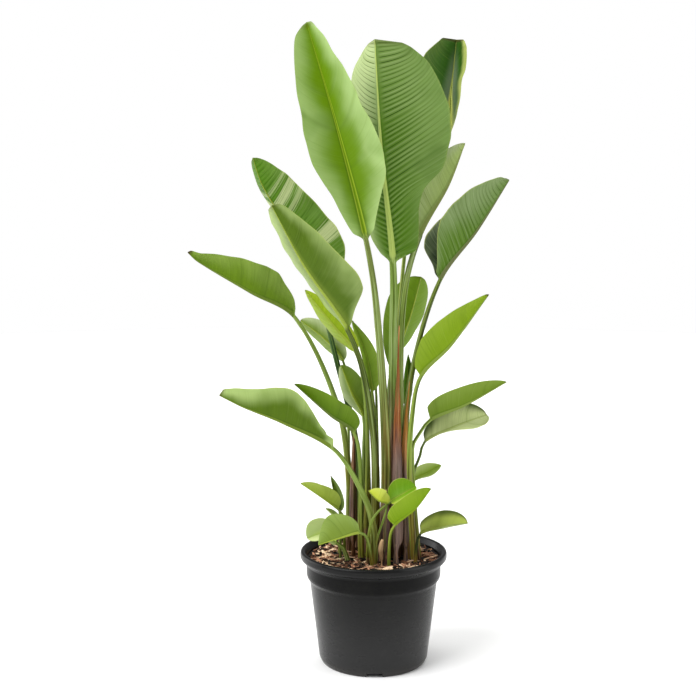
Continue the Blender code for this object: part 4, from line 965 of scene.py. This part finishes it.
def turned_piece(name, profile, sides, corner=0.0):
    """A profile of (radius, height), run from the axis over the top and down the outside, spun about Z."""
    bpy.ops.object.select_all(action="DESELECT")
    bpy.ops.mesh.primitive_plane_add(size=2 * MERGE, location=(0, 0, 0))
    piece = bpy.context.object
    piece.name = name
    piece.data.name = name
    bpy.ops.object.mode_set(mode="EDIT")
    bpy.ops.mesh.select_all(action="SELECT")
    bpy.ops.mesh.merge(type="CENTER")
    bpy.ops.transform.translate(value=(profile[0][0], 0, profile[0][1]))
    for (radius, height), (next_radius, next_height) in zip(profile, profile[1:]):
        step = (next_radius - radius, 0, next_height - height)
        bpy.ops.mesh.extrude_vertices_move(TRANSFORM_OT_translate={"value": step})
    if corner:
        bpy.ops.mesh.select_all(action="DESELECT")
        outline = bmesh.from_edit_mesh(piece.data)
        for vert in outline.verts:
            vert.select = len(vert.link_edges) == 2
        outline.select_flush_mode()
        bpy.ops.mesh.bevel(offset=corner, segments=3, affect="VERTICES", clamp_overlap=True)
    bpy.ops.mesh.select_all(action="SELECT")
    bpy.ops.mesh.spin(steps=sides, angle=math.tau, center=(0, 0, 0), axis=(0, 0, 1))
    weld(10 * MERGE)
    return piece


def cut(piece, cutters):
    """Cuts a list of pieces out of one, and removes them."""
    bpy.ops.object.select_all(action="DESELECT")
    for cutter in cutters:
        cutter.select_set(True)
    bpy.context.view_layer.objects.active = cutters[0]
    bpy.ops.object.join()
    bpy.ops.object.transform_apply()
    step = piece.modifiers.new("cut", "BOOLEAN")
    step.operation = "DIFFERENCE"
    step.object = cutters[0]
    bpy.ops.object.select_all(action="DESELECT")
    piece.select_set(True)
    bpy.context.view_layer.objects.active = piece
    bpy.ops.object.modifier_apply(modifier="cut")
    bpy.data.objects.remove(cutters[0], do_unlink=True)


def pot_profile():
    """The pot's wall as (radius, height), from the axis of its floor up the inside and down the outside."""
    lip, collar, shoulder, foot = POT_LIP_RADIUS, POT_COLLAR_RADIUS, POT_SHOULDER_RADIUS, POT_FOOT_RADIUS
    top, ledge = POT_HEIGHT, POT_SHOULDER_HEIGHT
    inside = [
        (0.0, POT_FLOOR),
        (foot - POT_CORNER_INSET, POT_FLOOR),
        (shoulder - POT_WALL, ledge + 0.001),
        (collar - POT_WALL, ledge + 0.013),
        (collar - POT_WALL, top - 0.010),
    ]
    bead = [
        (collar + 0.003, top - 0.001),
        (lip - 0.004, top),
        (lip - 0.001, top - 0.0015),
        (lip, top - 0.005),
        (lip, top - 0.0105),
        (lip - 0.002, top - 0.0140),
        (collar + 0.0035, top - 0.0165),
        (collar + 0.0025, top - 0.0185),
    ]
    outside = [
        (collar, top - 0.0225),
        (collar, ledge + 0.012),
        (collar - 0.0012, ledge + 0.0065),
        (shoulder + 0.0010, ledge + 0.0015),
        (shoulder, ledge - 0.0010),
        (foot, 0.009),
        (foot - 0.0030, 0.0022),
        (foot - 0.0050, 0.0),
    ]
    underside = [
        (foot - POT_RING_WIDTH, 0.0),
        (foot - POT_RING_WIDTH - 0.001, POT_RECESS),
        (POT_PAD_RADIUS, POT_RECESS),
        (POT_PAD_RADIUS - 0.001, 0.0),
        (0.0, 0.0),
    ]
    return inside + bead + outside + underside


def polar(reach, angle):
    """The place (x, y) at a reach from the axis, in the direction of an angle."""
    return np.array([reach * math.cos(angle), reach * math.sin(angle)])


def pot_cutters():
    """The notches through the foot, rounded at their top corners, and the drainage holes in the floor."""
    made = []
    for i in range(NOTCH_COUNT):
        angle = -math.pi / 2 + math.tau * i / NOTCH_COUNT
        reach = POT_FOOT_RADIUS - POT_RING_WIDTH / 2
        bpy.ops.object.select_all(action="DESELECT")
        bpy.ops.mesh.primitive_cube_add(
            size=1, location=(*polar(reach, angle), 0), rotation=(0, 0, angle),
            scale=(2 * POT_RING_WIDTH, NOTCH_WIDTH, 2 * NOTCH_HEIGHT))
        bpy.ops.object.mode_set(mode="EDIT")
        box = bmesh.from_edit_mesh(bpy.context.object.data)
        for edge in box.edges:
            along = abs((edge.verts[0].co - edge.verts[1].co).x) > 0.5
            edge.select = along and edge.verts[0].co.z > 0
        bpy.ops.mesh.bevel(offset=NOTCH_ROUND, segments=4)
        bpy.ops.object.mode_set(mode="OBJECT")
        made.append(bpy.context.object)
    for i in range(DRAIN_COUNT):
        angle = -math.pi / 2 + math.tau * (i + 0.5) / DRAIN_COUNT
        bpy.ops.mesh.primitive_cylinder_add(
            vertices=DRAIN_SIDES, radius=DRAIN_RADIUS, depth=4 * POT_FLOOR,
            location=(*polar(DRAIN_RING_RADIUS, angle), 0))
        made.append(bpy.context.object)
    return made


def pot_material():
    """Black moulded plastic: a fine grain, faint dust and soft scuffs round it, a body painted lighter
    towards its foot as painted light, and a collar with lowered gloss as painted shade under the rim.
    """
    surface = Surface("pot_black_plastic")
    here = surface.here()
    _, _, height = surface.split(here)
    grain = surface.noise(here, 2600.0)
    scuff = surface.streaks(here, (16, 16, 34), 3.0, 0.6)
    dust = surface.noise(here, 26.0, 3.0, 0.6)
    colour = surface.tint(shade(16, 16, 16), shade(21, 21, 20), dust, 0.42, 0.75)
    # Painted light: the body turns lighter towards its foot
    colour = surface.tint(colour, shade(42, 42, 42), height, 0.150, 0.020, 0.9)
    colour = surface.tint(colour, shade(60, 57, 52), height, 0.02, 0.0, 0.3)
    colour = surface.tint(colour, shade(70, 70, 70), scuff, 0.60, 0.74, 0.08)
    # Painted shade under the rim: the collar's gloss is lowered there
    collar = surface.times(
        surface.step(height, POT_SHOULDER_HEIGHT - 0.007, POT_SHOULDER_HEIGHT + 0.011),
        surface.step(height, POT_HEIGHT - 0.014, POT_HEIGHT - 0.022))
    relief = surface.maths("ADD", grain, surface.times(scuff, 0.2))
    return surface.finish(
        colour, surface.step(scuff, 0.3, 0.7, 0.26, 0.30), surface.bump(relief, 0.0003, 0.2),
        surface.maths("MULTIPLY_ADD", collar, COLLAR_GLOSS - POT_GLOSS, POT_GLOSS))


def make_pot():
    piece = turned_piece("nursery_pot", pot_profile(), POT_SIDES, POT_ROUNDING)
    cut(piece, pot_cutters())
    bpy.ops.object.shade_smooth_by_angle(angle=POT_SHARP_ANGLE)
    finish_piece(piece, pot_material(), "pot_plastic", "pot")


def mulch_height(x, y):
    """The loose top of the mulch: low heaps, with smaller ones on them."""
    return MULCH_TOP + sum(rise * noise.noise((x * pace, y * pace, depth)) for pace, depth, rise in HEAPS)


def make_mulch_bed():
    """The dark filling under the shreds, to the pot's wall and floor."""
    reach = POT_COLLAR_RADIUS - POT_WALL - CLEARANCE
    top = [(reach * i / BED_RINGS, MULCH_TOP) for i in range(BED_RINGS + 1)]
    profile = top + [
        (reach, POT_SHOULDER_HEIGHT + 0.013),
        (POT_SHOULDER_RADIUS - POT_WALL - CLEARANCE, POT_SHOULDER_HEIGHT + 0.001),
        (POT_FOOT_RADIUS - POT_CORNER_INSET - CLEARANCE, POT_FLOOR + CLEARANCE),
        (0.0, POT_FLOOR + CLEARANCE),
    ]
    bed = turned_piece("mulch_bed", profile, BED_SIDES)
    for vert in bed.data.vertices:
        if vert.co.z > MULCH_TOP - MERGE * 10:
            vert.co.z = mulch_height(vert.co.x, vert.co.y)
    bpy.ops.object.shade_smooth_by_angle(angle=BED_SHARP_ANGLE)
    set_mark(bed.data, "bark_tone", np.full(len(bed.data.vertices), BED_TONE))
    set_mark(bed.data, "bark_place", np.array([vert.co[:] for vert in bed.data.vertices]))
    return bed


def shred_kind(rng):
    """One shred of bark: a bar cut across, drawn thin to its ends, bent, twisted and splintered."""
    bpy.ops.object.select_all(action="DESELECT")
    bpy.ops.mesh.primitive_cube_add(size=1)
    piece = bpy.context.object
    bpy.ops.object.mode_set(mode="EDIT")
    bar = bmesh.from_edit_mesh(piece.data)
    for edge in bar.edges:
        edge.select = abs((edge.verts[0].co - edge.verts[1].co).x) > 0.5
    bpy.ops.mesh.subdivide(number_cuts=SHRED_CUTS)
    bpy.ops.object.mode_set(mode="OBJECT")
    bend = rng.uniform(-0.10, 0.10)
    lift = rng.uniform(-0.05, 0.07)
    twist = rng.uniform(-0.9, 0.9)
    blunt = rng.uniform(0.25, 0.8)
    for vert in piece.data.vertices:
        along = 2 * vert.co.x
        end = abs(along) ** 3
        thin = 1 - (1 - blunt) * end + rng.uniform(-0.12, 0.12)
        y = vert.co.y * thin
        z = vert.co.z * (1 - 0.5 * end + rng.uniform(-0.1, 0.1))
        turn = twist * along
        vert.co.y = y * math.cos(turn) - z * math.sin(turn) + bend * along**2
        vert.co.z = y * math.sin(turn) + z * math.cos(turn) + lift * along**2
        vert.co.x += rng.uniform(-0.05, 0.05) * (1 + end)
    mesh = piece.data
    bpy.data.objects.remove(piece, do_unlink=True)
    return mesh


def stalk_feet():
    """Where each stalk stands in the mulch, and its radius there."""
    return [(np.array(spec["stalk"][0][:2]), spec["radius"][0]) for spec in LEAVES.values()]


def clear_of_stalks(spot, heading, length, feet):
    """Whether a shred lies beside every stalk and not through one."""
    half = polar(0.5 * length, heading)
    for foot, radius in feet:
        off = foot - spot
        run = np.clip(np.dot(off, half) / np.dot(half, half), -1, 1)
        if np.linalg.norm(off - run * half) < radius + SHRED_STALK_GAP:
            return False
    return True


def shred_places(rng, feet):
    """Where the shreds lie, as (spot, heading, length, width, thickness, tone): a few broad pale chips,
    and then many small ones."""
    reach = POT_COLLAR_RADIUS - POT_WALL - SHRED_WALL_GAP
    places = []
    while len(places) < SHRED_COUNT:
        pale = len(places) < PALE_CHIPS
        length = rng.uniform(0.014, 0.026) if pale else rng.uniform(0.009, 0.027)
        width = rng.uniform(0.005, 0.010) if pale else rng.uniform(0.0014, 0.0042)
        thickness = rng.uniform(0.0008, 0.0020)
        if pale:
            spot = np.array([rng.uniform(-0.045, 0.035), rng.uniform(-0.103, -0.078)])
        else:
            spot = polar(reach * math.sqrt(rng.random()), rng.uniform(0, math.tau))
        heading = rng.uniform(-0.5, 0.5) if pale else rng.uniform(0, math.pi)
        ends = polar(0.5 * length, heading)
        if max(np.linalg.norm(spot + ends), np.linalg.norm(spot - ends)) > reach:
            continue
        if not clear_of_stalks(spot, heading, length, feet):
            continue
        tone = rng.uniform(0.72, 1.0) if pale else rng.random() ** 1.3 * 0.9 + (rng.random() < 0.12) * 0.25
        places.append((spot, heading, length, width, thickness, tone))
    return places


def make_mulch():
    """Shredded bark: a few kinds of shred, copied, turned and laid over each other on the bed."""
    made = mulch_material()
    rng = random.Random(SHRED_SEED)
    kinds = [shred_kind(rng) for _ in range(SHRED_KINDS)]
    heap = bmesh.new()
    tones, spots = [], []
    for spot, heading, length, width, thickness, tone in shred_places(rng, stalk_feet()):
        layer = rng.uniform(-0.0005, 0.0034)
        height = mulch_height(*spot) + layer
        place = (
            Matrix.Translation((spot[0], spot[1], height))
            @ Matrix.Rotation(heading, 4, "Z")
            @ Matrix.Rotation(rng.uniform(-0.28, 0.28), 4, "Y")
            @ Matrix.Rotation(rng.uniform(-0.7, 0.7), 4, "X")
            @ Matrix.Diagonal((length, width, thickness, 1))
        )
        kind = rng.choice(kinds).copy()
        local = [vert.co.copy() for vert in kind.vertices]
        kind.transform(place)
        heap.from_mesh(kind)
        tones += [tone] * len(local)
        shift = SHRED_GRAIN_SHIFT * len(tones)
        spots += [(co.x * length + shift, co.y * width, co.z * thickness) for co in local]
        bpy.data.meshes.remove(kind)
    mesh = bpy.data.meshes.new("bark_shreds")
    heap.to_mesh(mesh)
    heap.free()
    set_mark(mesh, "bark_tone", np.array(tones))
    set_mark(mesh, "bark_place", np.array(spots))
    shreds = bpy.data.objects.new("bark_shreds", mesh)
    bpy.context.scene.collection.objects.link(shreds)
    for kind in kinds:
        bpy.data.meshes.remove(kind)
    finish_piece(shreds, made, "bark_mulch", "bark_mulch")
    finish_piece(make_mulch_bed(), made, "bark_mulch", "bark_mulch")


def mulch_material():
    """Bark from near black to peach by each shred's tone, with darker and paler fibres along it."""
    surface = Surface("shredded_bark")
    tone = surface.mark("bark_tone", "Fac")
    fibre = surface.streaks(surface.mark("bark_place"), (50, 1400, 1400), 3.0, 0.6)
    stain = surface.noise(surface.here(), 60.0, 3.0, 0.6)
    level = surface.maths("ADD", tone, surface.step(stain, 0.3, 0.7, -0.09, 0.07))
    colour = surface.tint(shade(8, 5, 4), shade(96, 58, 38), level, 0.12, 0.32)
    colour = surface.tint(colour, shade(192, 138, 106), level, 0.36, 0.58)
    colour = surface.tint(colour, shade(252, 222, 184), level, 0.60, 0.84)
    colour = surface.darken(colour, shade(110, 84, 74), fibre, 0.46, 0.70, 0.9)
    colour = surface.tint(colour, shade(226, 180, 140), fibre, 0.42, 0.28, 0.3)
    return surface.finish(
        colour, surface.step(fibre, 0.3, 0.7, 0.72, 0.95), surface.bump(fibre, 0.0008, 0.7), BARK_GLOSS)


def light(name, towards, strength):
    """A soft light from far off, as of a large studio box, in the direction towards it."""
    data = bpy.data.lights.new(name, "SUN")
    data.angle = LIGHT_SPREAD
    data.energy = strength
    lamp = bpy.data.objects.new(name, data)
    lamp.rotation_euler = Vector(towards).to_track_quat("Z", "Y").to_euler()
    bpy.context.scene.collection.objects.link(lamp)


def make_stage():
    """The photograph's camera, a plain pale floor, and soft studio light."""
    scene = bpy.context.scene
    data = bpy.data.cameras.new("camera")
    data.sensor_width = CAMERA_SENSOR
    data.lens = CAMERA_LENS
    camera = bpy.data.objects.new("camera", data)
    camera.location = CAMERA_PLACE
    camera.rotation_euler = (CAMERA_PITCH, 0, 0)
    scene.collection.objects.link(camera)
    scene.camera = camera

    bpy.ops.object.select_all(action="DESELECT")
    bpy.ops.mesh.primitive_circle_add(
        vertices=FLOOR_SIDES, radius=FLOOR_RADIUS, fill_type="NGON", location=(0, 0, 0))
    floor = bpy.context.object
    floor.name = "floor"
    surface = Surface("pale_floor")
    mottle = surface.noise(surface.here(), 3.0)
    colour = surface.tint(shade(246, 246, 245), shade(250, 250, 250), mottle, 0.3, 0.7)
    floor.data.materials.append(surface.finish(colour, surface.step(mottle, 0.3, 0.7, 0.7, 0.8)))

    world = bpy.data.worlds.new("studio")
    scene.world = world
    world.use_nodes = True
    backdrop = world.node_tree.nodes["Background"]
    backdrop.inputs["Color"].default_value = (1.0, 1.0, 1.0, 1.0)
    seen = world.node_tree.nodes.new("ShaderNodeLightPath")
    strength = world.node_tree.nodes.new("ShaderNodeMapRange")
    strength.inputs["To Min"].default_value = WORLD_LIGHT
    world.node_tree.links.new(seen.outputs["Is Camera Ray"], strength.inputs["Value"])
    world.node_tree.links.new(strength.outputs["Result"], backdrop.inputs["Strength"])
    scene.view_settings.view_transform = "Standard"
    light("key_light", (-1.0, -0.6, 1.0), 3.2)
    light("side_light", (1.2, -0.4, 0.5), 1.4)
    light("top_light", (0.1, 0.3, 1.0), 1.5)
    light("edge_light", (-1.0, 0.45, 0.25), 1.2)


make_stage()
make_leaves()
make_pot()
make_mulch()
